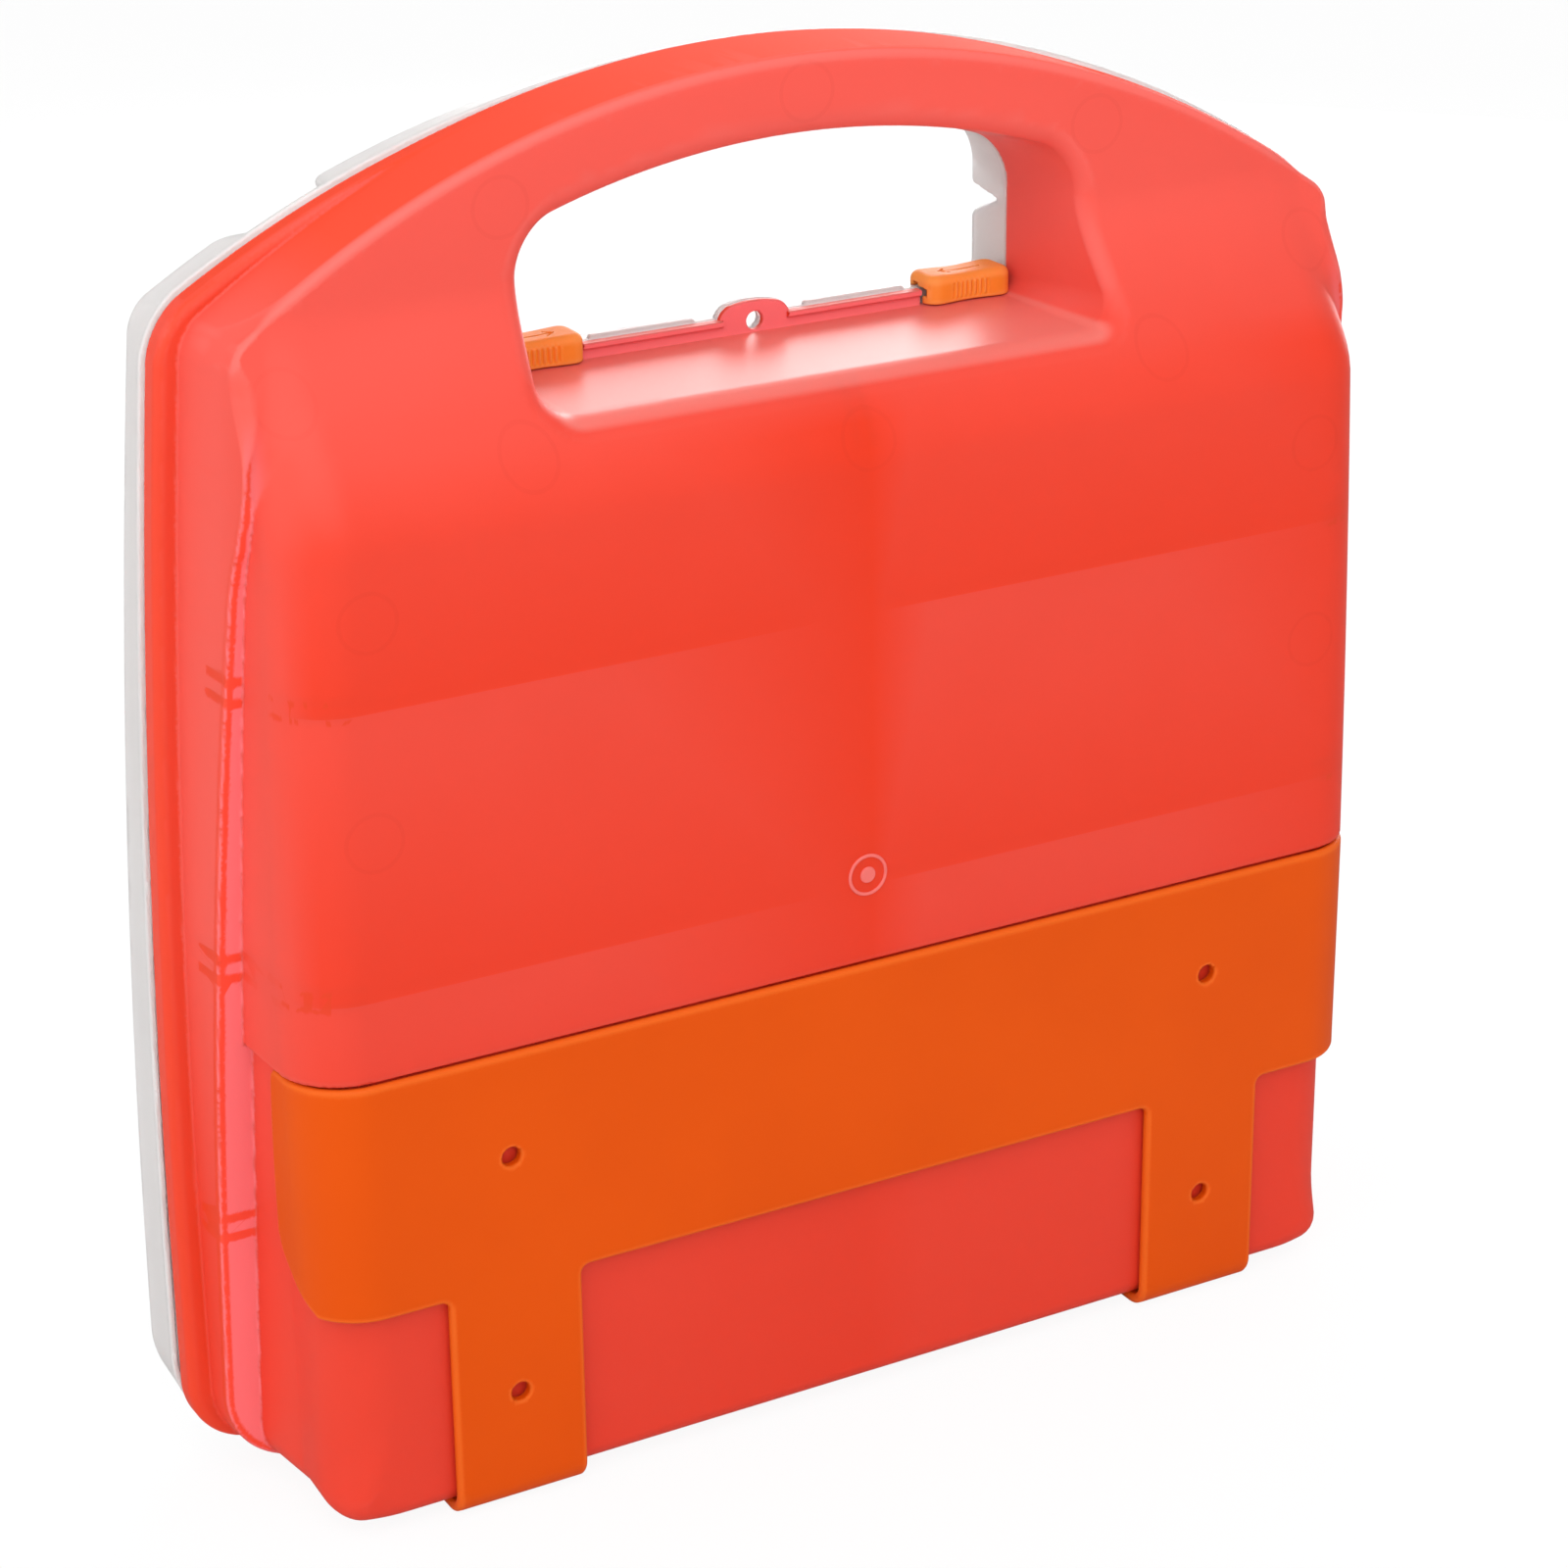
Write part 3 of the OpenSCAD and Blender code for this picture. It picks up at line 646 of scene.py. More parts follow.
def wall_bracket(x, d, z):
    ax = np.abs(x)
    half = SHEET / 2
    turn = inside_both(ax - BRACKET_HALF + half, half - d, BRACKET_CORNER_R - half)
    sheet = np.abs(inside_both(turn, half - z, FOOT_BEND_R - half)) - half
    middle = (BAND_Z0 + BAND_TOP) / 2
    bow = EAR_BOW * ((z - middle) / (BAND_TOP - middle)) ** 2
    ear = inside_both(d - EAR_REACH + bow, z - BAND_TOP, EAR_CORNER_R)
    fall = (d - EAR_REACH + EAR_CUT_L) * EAR_CUT_H - (z - BAND_Z0) * EAR_CUT_L
    slant = fall / math.hypot(EAR_CUT_H, EAR_CUT_L)
    band = inside_both(inside_both(ear, slant, EAR_CORNER_R), BAND_Z0 - z, BAND_EDGE_R)
    leg_side = np.abs(ax - LEG_X) - LEG_HALF
    leg = inside_both(leg_side, d - FOOT_REACH, FOOT_CORNER_R)
    leg = np.maximum(leg, z - middle)
    region = inside_either(band, leg, LEG_FILLET)
    plate = inside_both(sheet, region, SHEET_EDGE_R)
    for hole_z in HOLE_ZS:
        bore = np.hypot(ax - LEG_X, z - hole_z) - HOLE_R
        plate = inside_both(plate, -bore, HOLE_EDGE_R)
    return plate


def sample(form, axes, step):
    """Values of a form in cells, worked out in full only near its surface."""
    counts = [len(axis) for axis in axes]
    field = np.full(counts, BAND_CELLS, np.float32)
    starts = [range(0, count, BLOCK) for count in counts]
    middles = [axis[0] + step * (np.array(start) + BLOCK / 2) for axis, start in zip(axes, starts)]
    rough = form(*np.meshgrid(*middles, indexing="ij", sparse=True))
    reach = (BLOCK * BLOCK_REACH + BAND_CELLS) * step
    for cell in np.ndindex(rough.shape):
        spans = tuple(slice(s[i], s[i] + BLOCK) for s, i in zip(starts, cell))
        if abs(rough[cell]) > reach:
            field[spans] = BAND_CELLS if rough[cell] > 0 else -BAND_CELLS
            continue
        places = [axis[span] for axis, span in zip(axes, spans)]
        exact = form(*np.meshgrid(*places, indexing="ij", sparse=True))
        field[spans] = np.clip(exact / step, -BAND_CELLS, BAND_CELLS)
    return field


def gradient(form, points):
    """Slope of a distance form at points."""
    slopes = []
    for axis in range(3):
        shift = np.zeros(3)
        shift[axis] = PROBE
        ahead = form(*(points + shift).T)
        behind = form(*(points - shift).T)
        slopes.append((ahead - behind) / (2 * PROBE))
    return np.stack(slopes, axis=1)


def settle(form, points, step):
    """Points moved onto the surface of a form, and the surface's normals there."""
    for _ in range(SETTLE_ROUNDS):
        slope = gradient(form, points)
        length = np.maximum(np.sum(slope * slope, axis=1), FLATTEST)
        move = np.clip(form(*points.T) / length, -step / 2, step / 2)
        points = points - slope * move[:, None]
    normals = gradient(form, points)
    return points, normals / np.maximum(np.linalg.norm(normals, axis=1), TINY)[:, None]


def bend(form, points):
    """How sharply a surface bends at points, above zero where it bulges."""
    total = -6 * form(*points.T)
    for axis in range(3):
        shift = np.zeros(3)
        shift[axis] = CURVE_PROBE
        total = total + form(*(points + shift).T) + form(*(points - shift).T)
    return total / CURVE_PROBE


def thickness(form, points, normals):
    """Share of a line straight into the surface that lies within the solid."""
    filled = [form(*(points - normals * reach).T) < 0 for reach in THICK_PROBES]
    return np.mean(filled, axis=0)


# Where the looks change, as slopes of the normal and places in millimetres
TOP_FACING = 0.8
ARCH_TURN = 0.15
ARCH_Z = 255.0
ARCH_RUN = 10.0
LIGHT_D = 5.0
LIGHT_RUN = 24.0
BACK_FACING = 0.45
BACK_TURN = 0.3
LEDGE_X = 128.0
LEDGE_D = 14.0
LEDGE_RUN = 4.0
LEDGE_FRONT = 43.0
LEDGE_END_Z = 236.0
LEDGE_END_RUN = 16.0
LIT_RAIL_D = 46.0
LIT_RAIL_RUN = 2.0
LIT_RAIL_HALF = 60.0
FLOOR_TURN = 0.12
FLOOR_NEAR = 4.0


def arch_top(points, normals):
    """One on the matt top of the handle's arch, where the red material paints a deeper shaded red."""
    return eased(normals[:, 2], TOP_FACING, ARCH_TURN) * eased(points[:, 2], ARCH_Z, ARCH_RUN)


def inner_light(points, normals):
    """How much of the light that enters by the lid comes through the shell at points; the red material
    also paints this in as a paler colour.
    """
    return np.clip((points[:, 1] - LIGHT_D) / LIGHT_RUN, 0, 1) * (1 - arch_top(points, normals))


def squarely_lit(points, normals):
    """One where a wall near the lid looks straight back, as the side ledges and the rail do; the red
    material paints these paler, as painted light.
    """
    x, d, z = points.T
    back = eased(-normals[:, 1], BACK_FACING, BACK_TURN)
    ledge = eased(np.abs(x), LEDGE_X, LEDGE_RUN) * (1 - eased(z, LEDGE_END_Z, LEDGE_END_RUN))
    ledge = ledge * eased(d, LEDGE_D, LEDGE_RUN) * (d < LEDGE_FRONT)
    bar = eased(d, LIT_RAIL_D, LIT_RAIL_RUN) * (np.abs(x) < LIT_RAIL_HALF)
    return back * np.maximum(ledge, bar)


def smooth_floor(points, normals):
    """One on the floor of the hand opening, which is polished and which the red material paints paler, as
    painted light.
    """
    return eased(normals[:, 2], TOP_FACING, FLOOR_TURN) * (np.abs(points[:, 2] - FLOOR_Z) < FLOOR_NEAR)


def looks_at(form, points, normals):
    """Values that the materials use at points, one column for each name in LOOKS."""
    edge = np.clip(bend(form, points), -1, 1)
    looks = (edge, thickness(form, points, normals), inner_light(points, normals),
             squarely_lit(points, normals), smooth_floor(points, normals), arch_top(points, normals))
    return np.stack(looks, axis=1)


def cut_triangles(corners, cut, middles):
    """Triangles with some edges cut at their middle; cut and middles hold a value for each edge."""
    count = cut.sum(axis=1)
    shift = np.where(count == 1, cut.argmax(axis=1), cut.argmin(axis=1) + 1)
    turn = (shift[:, None] + np.arange(3)) % 3
    a, b, c = np.take_along_axis(corners, turn, axis=1).T
    ab, bc, ca = np.take_along_axis(middles, turn, axis=1).T
    patterns = {1: ((a, ab, c), (ab, b, c)), 2: ((ab, b, bc), (a, ab, bc), (a, bc, c)),
                3: ((a, ab, ca), (ab, b, bc), (ca, bc, c), (ab, bc, ca))}
    parts = [corners[count == 0]]
    for number, pattern in patterns.items():
        for triangle in pattern:
            parts.append(np.stack(triangle, axis=1)[count == number])
    return np.concatenate(parts)


def refined(form, points, normals, corners, step):
    """A mesh with shorter edges where a look changes quickly, and the looks at its points."""
    looks = looks_at(form, points, normals)
    for _ in range(REFINE_ROUNDS):
        ends = np.sort(corners[:, [0, 1, 1, 2, 2, 0]].reshape(-1, 2), axis=1)
        ends, edge_of = np.unique(ends, axis=0, return_inverse=True)
        near, far = ends.T
        length = np.linalg.norm(points[near] - points[far], axis=1)
        change = np.abs(looks[near] - looks[far]).max(axis=1)
        cut = (length > REFINE_LENGTH) & (change > REFINE_CHANGE)
        middles = np.cumsum(cut) - 1 + len(points)
        edge_of = edge_of.reshape(-1, 3)
        corners = cut_triangles(corners, cut[edge_of], middles[edge_of])
        fresh = (points[near] + points[far])[cut] / 2
        fresh, fresh_normals = settle(form, fresh, step)
        points = np.concatenate([points, fresh])
        normals = np.concatenate([normals, fresh_normals])
        looks = np.concatenate([looks, looks_at(form, fresh, fresh_normals)])
    return points, normals, corners, looks


def to_frame(vectors):
    """Swap from x, d, z to the frame's x, y, z for directions."""
    return vectors * np.array([1, -1, 1])


def triangle_mesh(name, places, corners):
    mesh = bpy.data.meshes.new(name)
    mesh.vertices.add(len(places))
    mesh.vertices.foreach_set("co", places.astype(np.float32).ravel())
    mesh.loops.add(corners.size)
    mesh.loops.foreach_set("vertex_index", corners.astype(np.int32).ravel())
    mesh.polygons.add(len(corners))
    mesh.polygons.foreach_set("loop_start", np.arange(0, corners.size, 3, dtype=np.int32))
    mesh.polygons.foreach_set("use_smooth", np.ones(len(corners), bool))
    mesh.update(calc_edges=True)
    return mesh


def thinned(places, corners, most):
    """A triangle mesh cut down to a number of triangles where it is flat."""
    mesh = triangle_mesh("dense", places, corners)
    dense = bpy.data.objects.new("dense", mesh)
    bpy.context.scene.collection.objects.link(dense)
    modifier = dense.modifiers.new("thin", "DECIMATE")
    modifier.ratio = most / len(corners)
    thin = dense.evaluated_get(bpy.context.evaluated_depsgraph_get()).to_mesh()
    places = np.empty(len(thin.vertices) * 3, np.float32)
    thin.vertices.foreach_get("co", places)
    corners = np.empty(len(thin.polygons) * 3, np.int32)
    thin.loops.foreach_get("vertex_index", corners)
    bpy.data.objects.remove(dense)
    bpy.data.meshes.remove(mesh)
    return places.reshape(-1, 3).astype(float), corners.reshape(-1, 3)


def solid(name, form, low, high, step, most):
    """An object whose surface is where a distance form is zero."""
    low = np.array(low, float) - GRID_MARGIN * step
    axes = [np.arange(a, b + (GRID_MARGIN + 1) * step, step) for a, b in zip(low, high)]
    grid = openvdb.FloatGrid(BAND_CELLS)
    grid.copyFromArray(sample(form, axes, step))
    points, triangles, quads = grid.convertToPolygons(isovalue=0.0, adaptivity=MERGE)
    corners = np.concatenate([triangles[:, ::-1], quads[:, [2, 1, 0]], quads[:, [3, 2, 0]]])
    points = points.astype(float) * step + low
    if len(corners) > most:
        points, corners = thinned(points, corners, most)
    points, normals = settle(form, points, step)
    points, normals, corners, looks = refined(form, points, normals, corners, step)
    places = to_frame(points) * MM + np.array([0, WALL_Y * MM, 0])
    mesh = triangle_mesh(name, places, corners)
    for look_name, values in zip(LOOKS, looks.T):
        attribute = mesh.attributes.new(look_name, "FLOAT", "POINT")
        attribute.data.foreach_set("value", values.astype(np.float32))
    mesh.normals_split_custom_set_from_vertices(to_frame(normals).tolist())
    piece = bpy.data.objects.new(name, mesh)
    bpy.context.scene.collection.objects.link(piece)
    return piece


def node(tree, kind, values=None, **settings):
    """A shader node with its sockets and settings filled in."""
    made = tree.nodes.new("ShaderNode" + kind)
    for name, value in settings.items():
        setattr(made, name, value)
    for name, value in (values or {}).items():
        made.inputs[name].default_value = value
    return made


NOISE_ROUGH = 0.55


def noise(tree, place, scale, detail):
    made = node(tree, "TexNoise", {"Scale": scale, "Detail": detail, "Roughness": NOISE_ROUGH})
    tree.links.new(place, made.inputs["Vector"])
    return made.outputs["Fac"]


def spread(tree, value, low, high, to_low, to_high):
    """A value mapped from one span to another."""
    span = {"From Min": low, "From Max": high, "To Min": to_low, "To Max": to_high}
    made = node(tree, "MapRange", span)
    tree.links.new(value, made.inputs["Value"])
    return made.outputs["Result"]


def combined(tree, kind, a, b):
    """Two values joined by a step of arithmetic, such as MINIMUM."""
    made = node(tree, "Math", operation=kind)
    tree.links.new(a, made.inputs[0])
    tree.links.new(b, made.inputs[1])
    return made.outputs[0]


def coordinate(tree, place, axis):
    """One coordinate of a place."""
    parts = node(tree, "SeparateXYZ")
    tree.links.new(place, parts.inputs[0])
    return parts.outputs[axis]


def tint(tree, part, a, b):
    """A colour part of the way from a to b, where each is a socket or a colour."""
    made = node(tree, "Mix", data_type="RGBA")
    tree.links.new(part, made.inputs["Factor"])
    for place, colour in ((6, a), (7, b)):
        if isinstance(colour, tuple):
            made.inputs[place].default_value = (*colour, 1)
        else:
            tree.links.new(colour, made.inputs[place])
    return made.outputs[2]


# Rings on the back, with the place of each across from the middle and upwards
MARK_R = 6.2
MARK_LINE = 0.45
MARKS = ((0, 298), (72, 283), (124, 252), (77, 236.5), (0, 229), (116, 210), (117, 163))


def mould_marks(tree, place):
    """Thin rings left by the mould on the back, the same on both sides."""
    width = node(tree, "Math", operation="ABSOLUTE")
    tree.links.new(coordinate(tree, place, "X"), width.inputs[0])
    flat = node(tree, "CombineXYZ")
    tree.links.new(width.outputs[0], flat.inputs["X"])
    tree.links.new(coordinate(tree, place, "Z"), flat.inputs["Z"])
    rings = None
    for x, z in MARKS:
        away = node(tree, "VectorMath", operation="DISTANCE")
        tree.links.new(flat.outputs[0], away.inputs[0])
        away.inputs[1].default_value = (x * MM, 0, z * MM)
        line = node(tree, "Math", {1: MARK_R * MM, 2: MARK_LINE * MM}, operation="COMPARE")
        tree.links.new(away.outputs["Value"], line.inputs[0])
        rings = line.outputs[0] if rings is None else combined(tree, "MAXIMUM", rings, line.outputs[0])
    return rings


# Painted shade of the plates on the back wall, wider on the left than on the right, and painted shade
# towards the right corner
SHADE_LEFT = 60.0
SHADE_RIGHT = 14.0
SHADE_Z = 55.0
SHADE_DEPTH = (9.0, 4.0)
CORNER_SHADE = 0.9
SHELF_SHADE = 0.8


def plate_shade(tree, place):
    """One on the back wall where a plate close behind it holds back the light, and towards the right
    corner: where the red material paints shade.
    """
    across, depth, height = [coordinate(tree, place, axis) for axis in "XYZ"]
    left = spread(tree, across, 0, SHADE_LEFT * MM, 1, 0)
    right = spread(tree, across, -SHADE_RIGHT * MM, 0, 0, 1)
    shade = combined(tree, "MINIMUM", left, right)
    corner = spread(tree, across, -BODY_HALF * MM, (SHADE_LEFT - BODY_HALF) * MM, CORNER_SHADE, 0)
    shade = combined(tree, "MAXIMUM", shade, corner)
    for top in shelf_tops:
        above = node(tree, "Math", {1: (top - PLATE_T) * MM}, operation="GREATER_THAN")
        tree.links.new(height, above.inputs[0])
        fall = spread(tree, height, top * MM, (top + SHADE_Z) * MM, SHELF_SHADE, 0)
        shade = combined(tree, "MAXIMUM", shade, combined(tree, "MULTIPLY", above.outputs[0], fall))
    far, near = [(WALL_Y - reach) * MM for reach in SHADE_DEPTH]
    return combined(tree, "MULTIPLY", shade, spread(tree, depth, far, near, 0, 1))


def look(tree, name):
    """A value kept at the mesh's points."""
    return node(tree, "Attribute", attribute_name=name).outputs["Fac"]


# Grain and gloss of the plastics, and how far each look changes their colour, with heights in metres
PLASTIC_IOR = 1.49
CLOUD_SCALE = 16
CLOUD_SPAN = (0.35, 0.65)
GLOSS_SCALE = 70
GLOSS_SPAN = (0.3, 0.7)
GLOSS_SPREAD = 0.03
GRAIN_SCALE = 1400
GRAIN = {"Strength": 0.04, "Distance": 0.0002}
EDGE_HIGHLIGHT_SPAN = (0.1, 0.6)
EDGE_HIGHLIGHT_PART = 0.45
LID_LIGHT_PART = 0.9
PLATE_SHADE_PART = 0.95
LOW_SPAN = (0.14, 0.06)
LOW_PART = 0.8
ARCH_SPAN = (0, 0.6)
ARCH_SHADE_PART = 0.9
ARCH_MATT_SPAN = (0, 0.4)
BODY_HIGHLIGHT_SPAN = (0.225, 0.245)
BODY_HIGHLIGHT_PART = 0.15
THICK_SPAN = (0.35, 0.9)
THICK_SHADE_PART = 0.85
MARK_PART = 0.07
MARK_COLOUR = (0.6, 0.02, 0.005)


def lit_through(tree, shader, place, colour, clearness, glow):
    """The colour of a shell with light behind it, with painted light and painted shade in it; its
    clearness is set on the shader.
    """
    inner = look(tree, "inner")
    # Painted light: paler, pinker red where light from the lid would come through the shell.
    colour = tint(tree, spread(tree, inner, 0, 1, 0, LID_LIGHT_PART), colour, glow["near"])
    clear_part = spread(tree, inner, 0, 1, clearness, glow["clearness"])
    dense = spread(tree, look(tree, "square"), 0, 1, 1, glow["square_clearness"])
    clear_part = combined(tree, "MINIMUM", clear_part, dense)
    tree.links.new(clear_part, shader.inputs["Transmission Weight"])
    # Painted shade: darker, deeper red where plates stand behind the back wall.
    shade = spread(tree, plate_shade(tree, place), 0, 1, 0, PLATE_SHADE_PART)
    colour = tint(tree, shade, colour, glow["plate_shade_colour"])
    # Darker, deeper red towards the base.
    low = spread(tree, coordinate(tree, place, "Z"), *LOW_SPAN, 0, LOW_PART)
    colour = tint(tree, low, colour, glow["low"])
    # Painted light: a paler red on the opening's floor.
    colour = tint(tree, look(tree, "floor"), colour, glow["floor"])
    # Painted shade: a deeper orange red on the top of the arch.
    return tint(tree, spread(tree, look(tree, "arch"), *ARCH_SPAN, 0, ARCH_SHADE_PART), colour, glow["arch"])


def uneven_gloss(tree, gloss, glow):
    """A roughness that is lower on the opening's floor and higher on the arch."""
    floor = spread(tree, look(tree, "floor"), 0, 1, 1, glow["floor_rough"])
    arch = spread(tree, look(tree, "arch"), *ARCH_MATT_SPAN, 0, glow["arch_rough"])
    return combined(tree, "MAXIMUM", combined(tree, "MINIMUM", gloss, floor), arch)


def plastic(name, main, second, highlight_colour, rough, clearness, shine, glow=None):
    """Moulded plastic with uneven colour, painted highlights that make bulging edges paler, uneven gloss
    and a fine grain.

    glow holds the colours, painted light and painted shade among them, and the clearness of plastic that
    lets light through.
    """
    material = bpy.data.materials.new(name)
    material.use_nodes = True
    tree = material.node_tree
    shader = tree.nodes["Principled BSDF"]
    shader.inputs["IOR"].default_value = PLASTIC_IOR
    shader.inputs["Specular IOR Level"].default_value = shine
    shader.inputs["Transmission Weight"].default_value = clearness
    place = node(tree, "TexCoord").outputs["Object"]
    clouds = spread(tree, noise(tree, place, CLOUD_SCALE, 3), *CLOUD_SPAN, 0, 1)
    colour = tint(tree, clouds, main, second)
    gloss = noise(tree, place, GLOSS_SCALE, 4)
    gloss = spread(tree, gloss, *GLOSS_SPAN, rough - GLOSS_SPREAD, rough + GLOSS_SPREAD)
    height = noise(tree, place, GRAIN_SCALE, 2)
    # Painted highlight: bulging edges are tinted paler.
    edge_highlight = spread(tree, look(tree, "edge"), *EDGE_HIGHLIGHT_SPAN, 0, EDGE_HIGHLIGHT_PART)
    if glow:
        colour = lit_through(tree, shader, place, colour, clearness, glow)
        gloss = uneven_gloss(tree, gloss, glow)
        # The painted edge highlight is weaker low on the red body.
        less = spread(tree, coordinate(tree, place, "Z"), *BODY_HIGHLIGHT_SPAN, BODY_HIGHLIGHT_PART, 1)
        edge_highlight = combined(tree, "MULTIPLY", edge_highlight, less)
    colour = tint(tree, edge_highlight, colour, highlight_colour)
    if glow:
        # Painted light: walls that face straight back near the lid, such as the ledges and the rail, are
        # paler pink.
        colour = tint(tree, look(tree, "square"), colour, glow["square"])
        # Painted shade: deeper, darker red where the plastic is thick.
        thick = spread(tree, look(tree, "thick"), *THICK_SPAN, 0, THICK_SHADE_PART)
        colour = tint(tree, thick, colour, glow["thick"])
        rings = mould_marks(tree, place)
        colour = tint(tree, spread(tree, rings, 0, 1, 0, MARK_PART), colour, MARK_COLOUR)
        height = combined(tree, "ADD", height, rings)
    tree.links.new(colour, shader.inputs["Base Color"])
    tree.links.new(gloss, shader.inputs["Roughness"])
    bump = node(tree, "Bump", GRAIN)
    tree.links.new(height, bump.inputs["Height"])
    tree.links.new(bump.outputs["Normal"], shader.inputs["Normal"])
    return material


def put_on(piece, body, material, node=None):
    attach(piece, body)
    if node:
        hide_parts(node)
    piece.data.materials.clear()
    piece.data.materials.append(material)


# Colours of the red shell: those for light from the lid, the ledges and the opening's floor are painted
# light; those for plates behind the wall, the top of the arch and thick plastic are painted shade; the
# low one deepens the red towards the base.
RED_GLOW = {
    "near": (1.0, 0.125, 0.095),
    "clearness": 0.3,
    "low": (0.95, 0.056, 0.022),
    "plate_shade_colour": (1.0, 0.044, 0.005),
    "floor": (1.0, 0.24, 0.20),
    "floor_rough": 0.35,
    "arch": (1.0, 0.078, 0.024),
    "arch_rough": 0.8,
    "square": (1.0, 0.19, 0.20),
    "square_clearness": 0.1,
    "thick": (0.95, 0.058, 0.012),
}
red = plastic("red_shell", (1.0, 0.080, 0.046), (0.98, 0.075, 0.041), (1.0, 0.26, 0.23),
              rough=0.42, clearness=0.36, shine=0.15, glow=RED_GLOW)
red_mark = plastic("red_mark", (1.0, 0.11, 0.08), (0.98, 0.10, 0.07), (1.0, 0.32, 0.30),
                   rough=0.42, clearness=0.3, shine=0.15)
clear = plastic("clear_lid", (0.975, 0.955, 0.945), (0.96, 0.94, 0.93), (0.99, 0.98, 0.97),
                rough=0.35, clearness=0.5, shine=0.2)
orange = plastic("orange_parts", (0.66, 0.076, 0.001), (0.63, 0.070, 0.001), (0.78, 0.15, 0.02),
                 rough=0.42, clearness=0.0, shine=0.08)
# Painted light: the latches are a paler, brighter orange than the bracket.
glow_orange = plastic("orange_latch", (1.0, 0.31, 0.035), (0.97, 0.29, 0.03), (1.0, 0.42, 0.13),
                      rough=0.5, clearness=0.1, shine=0.12)
pale = plastic("divider_plastic", (0.93, 0.91, 0.89), (0.89, 0.87, 0.85), (1.0, 0.98, 0.97),
               rough=0.35, clearness=0.6, shine=0.3)

# Cell sizes and the most triangles of a piece, and the margins of its grid
STEP = 0.7
BRACKET_STEP = 0.6
FINE_STEP = 0.3
LATCH_STEP = 0.2
GATE_STEP = 0.15
MOST = 110000
BRACKET_MOST = 60000
LATCH_MOST = 40000
PLATE_MOST = 20000
MARGIN = 1.0
RAIL_LOW = FLOOR_Z - 1.5
GATE_REACH = 5.0
HINGE_REACH = 3.0
HINGE_LOW = 1.0
HINGE_HIGH = 7.0
SHELF_X = 0.5

shell = solid("shell", back_shell, (-RIM_HALF, BODY_BACK, BASE_Z),
              (RIM_HALF, SHELL_FRONT, RIM_TOP), STEP, MOST)
put_on(shell, "case", red, "back_shell")
closing_rail = solid("closing_rail", shell_rail,
                     (-SHELL_RAIL_END - MARGIN, SHELL_RAIL - FOOT_R - MARGIN, RAIL_LOW),
                     (SHELL_RAIL_END + MARGIN, SHELL_FRONT, TAB_TOP), FINE_STEP, MOST)
put_on(closing_rail, "case", red)
gate = solid("gate_mark", gate_mark, (GATE_X - GATE_REACH, BODY_BACK - MARGIN, GATE_Z - GATE_REACH),
             (GATE_X + GATE_REACH, BODY_BACK + MARGIN, GATE_Z + GATE_REACH), GATE_STEP, MOST)
put_on(gate, "case", red_mark)

cover = solid("cover", lid, (-RIM_HALF, LID_EDGE, RIM_Z), (RIM_HALF, LID_FRONT, RIM_TOP), STEP, MOST)
put_on(cover, "lid", clear, "lid")
cover_rail = solid("cover_rail", lid_rail, (-LID_RAIL_END, LID_EDGE, RAIL_LOW),
                   (LID_RAIL_END, LID_RAIL + RAIL_T + FOOT_R + MARGIN, TAB_TOP), FINE_STEP, MOST)
put_on(cover_rail, "lid", clear)

for side_name, side in (("left", -1), ("right", 1)):
    middle = side * HINGE_X
    part = solid("knuckle_" + side_name, knuckle, (middle - KNUCKLE_HALF, ARM_BACK, HINGE_LOW),
                 (middle + KNUCKLE_HALF, HINGE_D + HINGE_REACH, HINGE_HIGH), FINE_STEP, MOST)
    put_on(part, "case", red)
    part = solid("ears_" + side_name, lid_ears, (middle - EAR_FAR, HINGE_D - HINGE_REACH, HINGE_LOW),
                 (middle + EAR_FAR, HINGE_D + HINGE_REACH, HINGE_HIGH), FINE_STEP, MOST)
    put_on(part, "lid", clear)
    near, far = sorted((side * latch_low.x, side * latch_high.x))
    part = solid("slider_" + side_name, latch, (near, LATCH_BACK - MARGIN, LATCH_BASE),
                 (far, LATCH_FRONT, LATCH_TOP), LATCH_STEP, LATCH_MOST)
    put_on(part, "latch_" + side_name, glow_orange, "latch_" + side_name)
    near, far = sorted((side * SHELF_X, side * RIM_HALF))
    for level, top in zip(("upper", "middle", "lower"), shelf_tops):
        name = level + "_shelf_" + side_name
        part = solid(level + "_plate_" + side_name, shelf_at(top), (near, BODY_BACK, top - PLATE_T),
                     (far, PLATE_FRONT, top), STEP, PLATE_MOST)
        put_on(part, "case", pale, name)

divider = solid("middle_plate", vertical_divider, (-PLATE_T / 2, BODY_BACK, BASE_Z),
                (PLATE_T / 2, PLATE_FRONT, FLOOR_Z), STEP, PLATE_MOST)
put_on(divider, "case", pale, "vertical_divider")

bracket = solid("bracket", wall_bracket, (-BRACKET_HALF, 0, 0),
                (BRACKET_HALF, FOOT_REACH, BAND_TOP), BRACKET_STEP, BRACKET_MOST)
put_on(bracket, "bracket", orange, "wall_bracket")

# Nodes of the frame that no piece replaces
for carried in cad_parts.values():
    if carried.hide_render:
        continue
    carried.data.materials.clear()
    carried.data.materials.append(clear)

# Camera
CAM_PLACE = Vector((0.403486, 0.711617, 0.470449))
CAM_AZIMUTH = math.radians(150.587)
CAM_ELEVATION = math.radians(22.027)
CAM_ROLL = math.radians(-0.628)
CAM_LENS = 90.0
CAM_SENSOR = 36.0


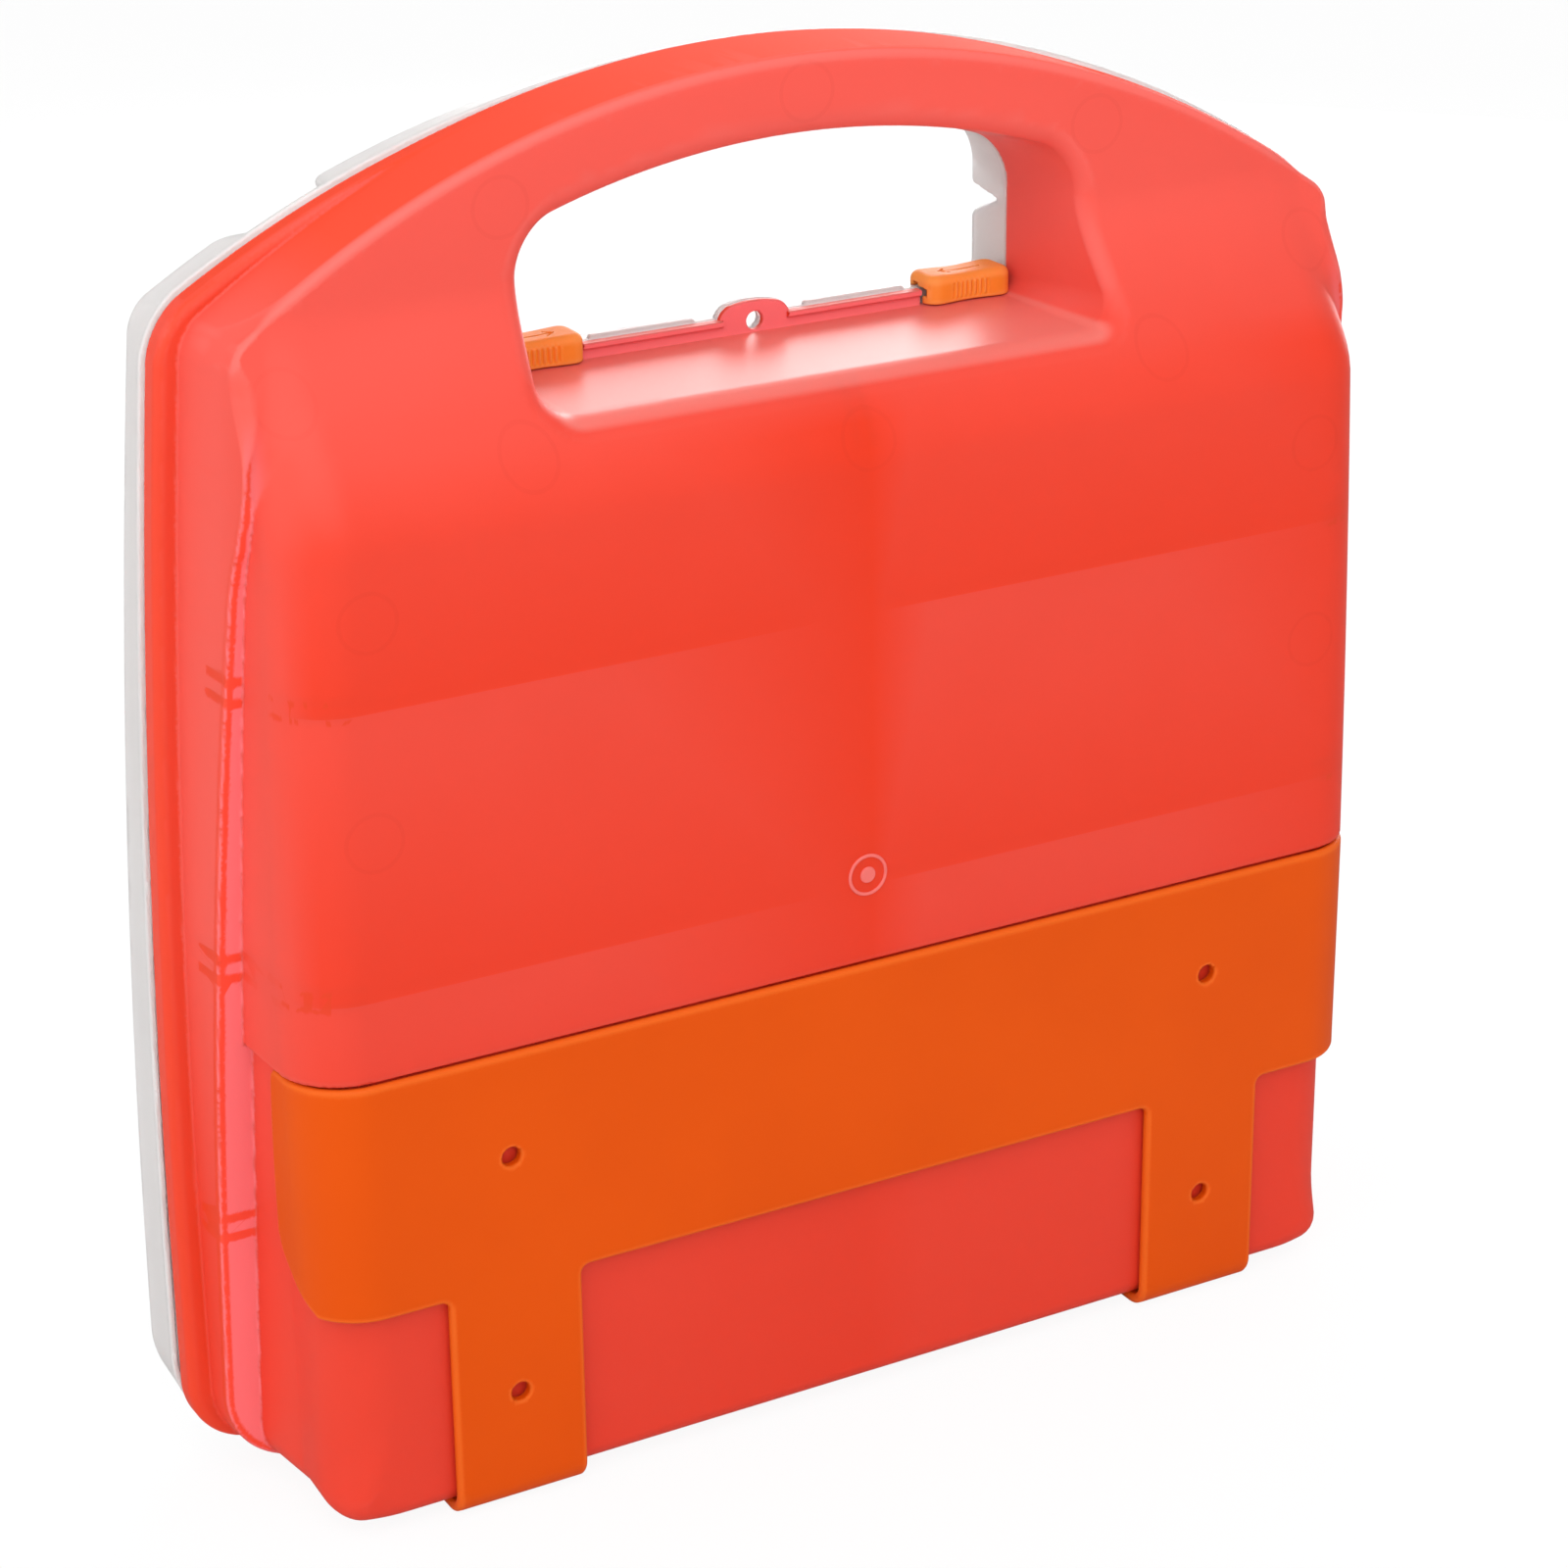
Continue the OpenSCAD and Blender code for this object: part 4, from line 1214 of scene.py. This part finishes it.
def aim_camera():
    data = bpy.data.cameras.new("camera")
    data.lens = CAM_LENS
    data.sensor_width = CAM_SENSOR
    camera = bpy.data.objects.new("camera", data)
    bpy.context.scene.collection.objects.link(camera)
    a, e, r = CAM_AZIMUTH, CAM_ELEVATION, CAM_ROLL
    back = Vector((math.sin(a) * math.cos(e), -math.cos(a) * math.cos(e), math.sin(e)))
    level = Vector((math.cos(a), math.sin(a), 0))
    up = back.cross(level)
    right = math.cos(r) * level + math.sin(r) * up
    over = math.cos(r) * up - math.sin(r) * level
    turn = Matrix((right, over, back)).transposed()
    camera.matrix_world = Matrix.Translation(CAM_PLACE) @ turn.to_4x4()
    bpy.context.scene.camera = camera


def area_light(name, place, target, size, power):
    data = bpy.data.lights.new(name, "AREA")
    data.shape = "SQUARE"
    data.size = size
    data.energy = power
    lamp = bpy.data.objects.new(name, data)
    bpy.context.scene.collection.objects.link(lamp)
    lamp.location = place
    lamp.visible_camera = False
    aim = Vector(target) - Vector(place)
    lamp.rotation_euler = aim.to_track_quat("-Z", "Y").to_euler()


# Light that reaches the object from the sky and the floor
DARK_SIDE = 0.12
FAR_SIDE = 0.35
SKY_LEVEL = 0.85
SKY_THROUGH = 0.5
SKY_FALL = (-0.3, 0.3)
FLOOR_FALL = (-0.15, 0.25)
FLOOR_REACH = 8.0
FLOOR_GREY = 0.9
FLOOR_ROUGH = 0.9
FLOOR_CLEAR = 0.92


def far_side(tree, place, low, high):
    """A level beyond the object, falling to a darker one on the wall's side."""
    return spread(tree, coordinate(tree, place, "Y"), low, high, FAR_SIDE, DARK_SIDE)


def switch(tree, part, a, b):
    """a or b, where each is a socket or a number."""
    made = node(tree, "Mix", data_type="FLOAT")
    tree.links.new(part, made.inputs["Factor"])
    for place, level in ((2, a), (3, b)):
        if isinstance(level, float):
            made.inputs[place].default_value = level
        else:
            tree.links.new(level, made.inputs[place])
    return made.outputs[0]


def seen_level(tree, plain, glossy, through):
    """A level for plain rays, one for reflections and one that reaches the inside.

    The camera sees full white.
    """
    path = node(tree, "LightPath")
    level = switch(tree, path.outputs["Is Glossy Ray"], plain, glossy)
    inside = node(tree, "Math", {1: 0.5}, operation="GREATER_THAN")
    tree.links.new(path.outputs["Diffuse Depth"], inside.inputs[0])
    clear_view = switch(tree, inside.outputs[0], 1.0, through)
    level = switch(tree, path.outputs["Is Transmission Ray"], level, clear_view)
    return switch(tree, path.outputs["Is Camera Ray"], level, 1.0)


def make_world():
    world = bpy.data.worlds.new("studio")
    bpy.context.scene.world = world
    world.use_nodes = True
    tree = world.node_tree
    sky = tree.nodes["Background"]
    sky.inputs["Color"].default_value = (1, 1, 1, 1)
    glossy = far_side(tree, node(tree, "TexCoord").outputs["Generated"], *SKY_FALL)
    tree.links.new(seen_level(tree, SKY_LEVEL, glossy, SKY_THROUGH), sky.inputs["Strength"])


def blend_of(tree, part, a, b):
    """A shader part of the way from a to b."""
    mix = node(tree, "MixShader")
    tree.links.new(part, mix.inputs["Fac"])
    tree.links.new(a.outputs[0], mix.inputs[1])
    tree.links.new(b.outputs[0], mix.inputs[2])
    return mix


def make_floor():
    """A pale floor that keeps shadows and lets the open lid show when it hangs lower."""
    far = FLOOR_REACH
    mesh = bpy.data.meshes.new("floor")
    mesh.from_pydata([(-far, -far, 0), (far, -far, 0), (far, far, 0), (-far, far, 0)], [], [(0, 1, 2, 3)])
    floor = bpy.data.objects.new("floor", mesh)
    bpy.context.scene.collection.objects.link(floor)
    paint = bpy.data.materials.new("pale_floor")
    paint.use_nodes = True
    tree = paint.node_tree
    shader = tree.nodes["Principled BSDF"]
    shader.inputs["Base Color"].default_value = (FLOOR_GREY, FLOOR_GREY, FLOOR_GREY, 1)
    shader.inputs["Roughness"].default_value = FLOOR_ROUGH
    glow = node(tree, "Emission")
    glossy = far_side(tree, node(tree, "NewGeometry").outputs["Position"], *FLOOR_FALL)
    tree.links.new(seen_level(tree, 1.0, glossy, 1.0), glow.inputs["Strength"])
    path = node(tree, "LightPath")
    part = spread(tree, path.outputs["Is Transmission Ray"], 0, 1, 0, FLOOR_CLEAR)
    part = combined(tree, "MAXIMUM", part, path.outputs["Is Glossy Ray"])
    lit = blend_of(tree, part, shader, glow)
    view = spread(tree, path.outputs["Is Camera Ray"], 0, 1, 0, FLOOR_CLEAR)
    whole = blend_of(tree, view, lit, node(tree, "BsdfTransparent"))
    tree.links.new(whole.outputs[0], tree.nodes["Material Output"].inputs["Surface"])
    mesh.materials.append(paint)


def studio():
    bpy.context.scene.view_settings.view_transform = "Standard"
    make_world()
    make_floor()
    middle = (0, 0, 0.16)
    handle = (0, 0, 0.24)
    area_light("key", (0.3, 0.7, 1.1), middle, size=1.2, power=8)
    area_light("side", (1.1, 0.2, 0.6), middle, size=1.0, power=3)
    area_light("through", (-1.0, -0.9, 0.25), middle, size=0.9, power=9)
    area_light("gleam", (-0.62, -1.1, 0.6), handle, size=0.6, power=4)


aim_camera()
studio()
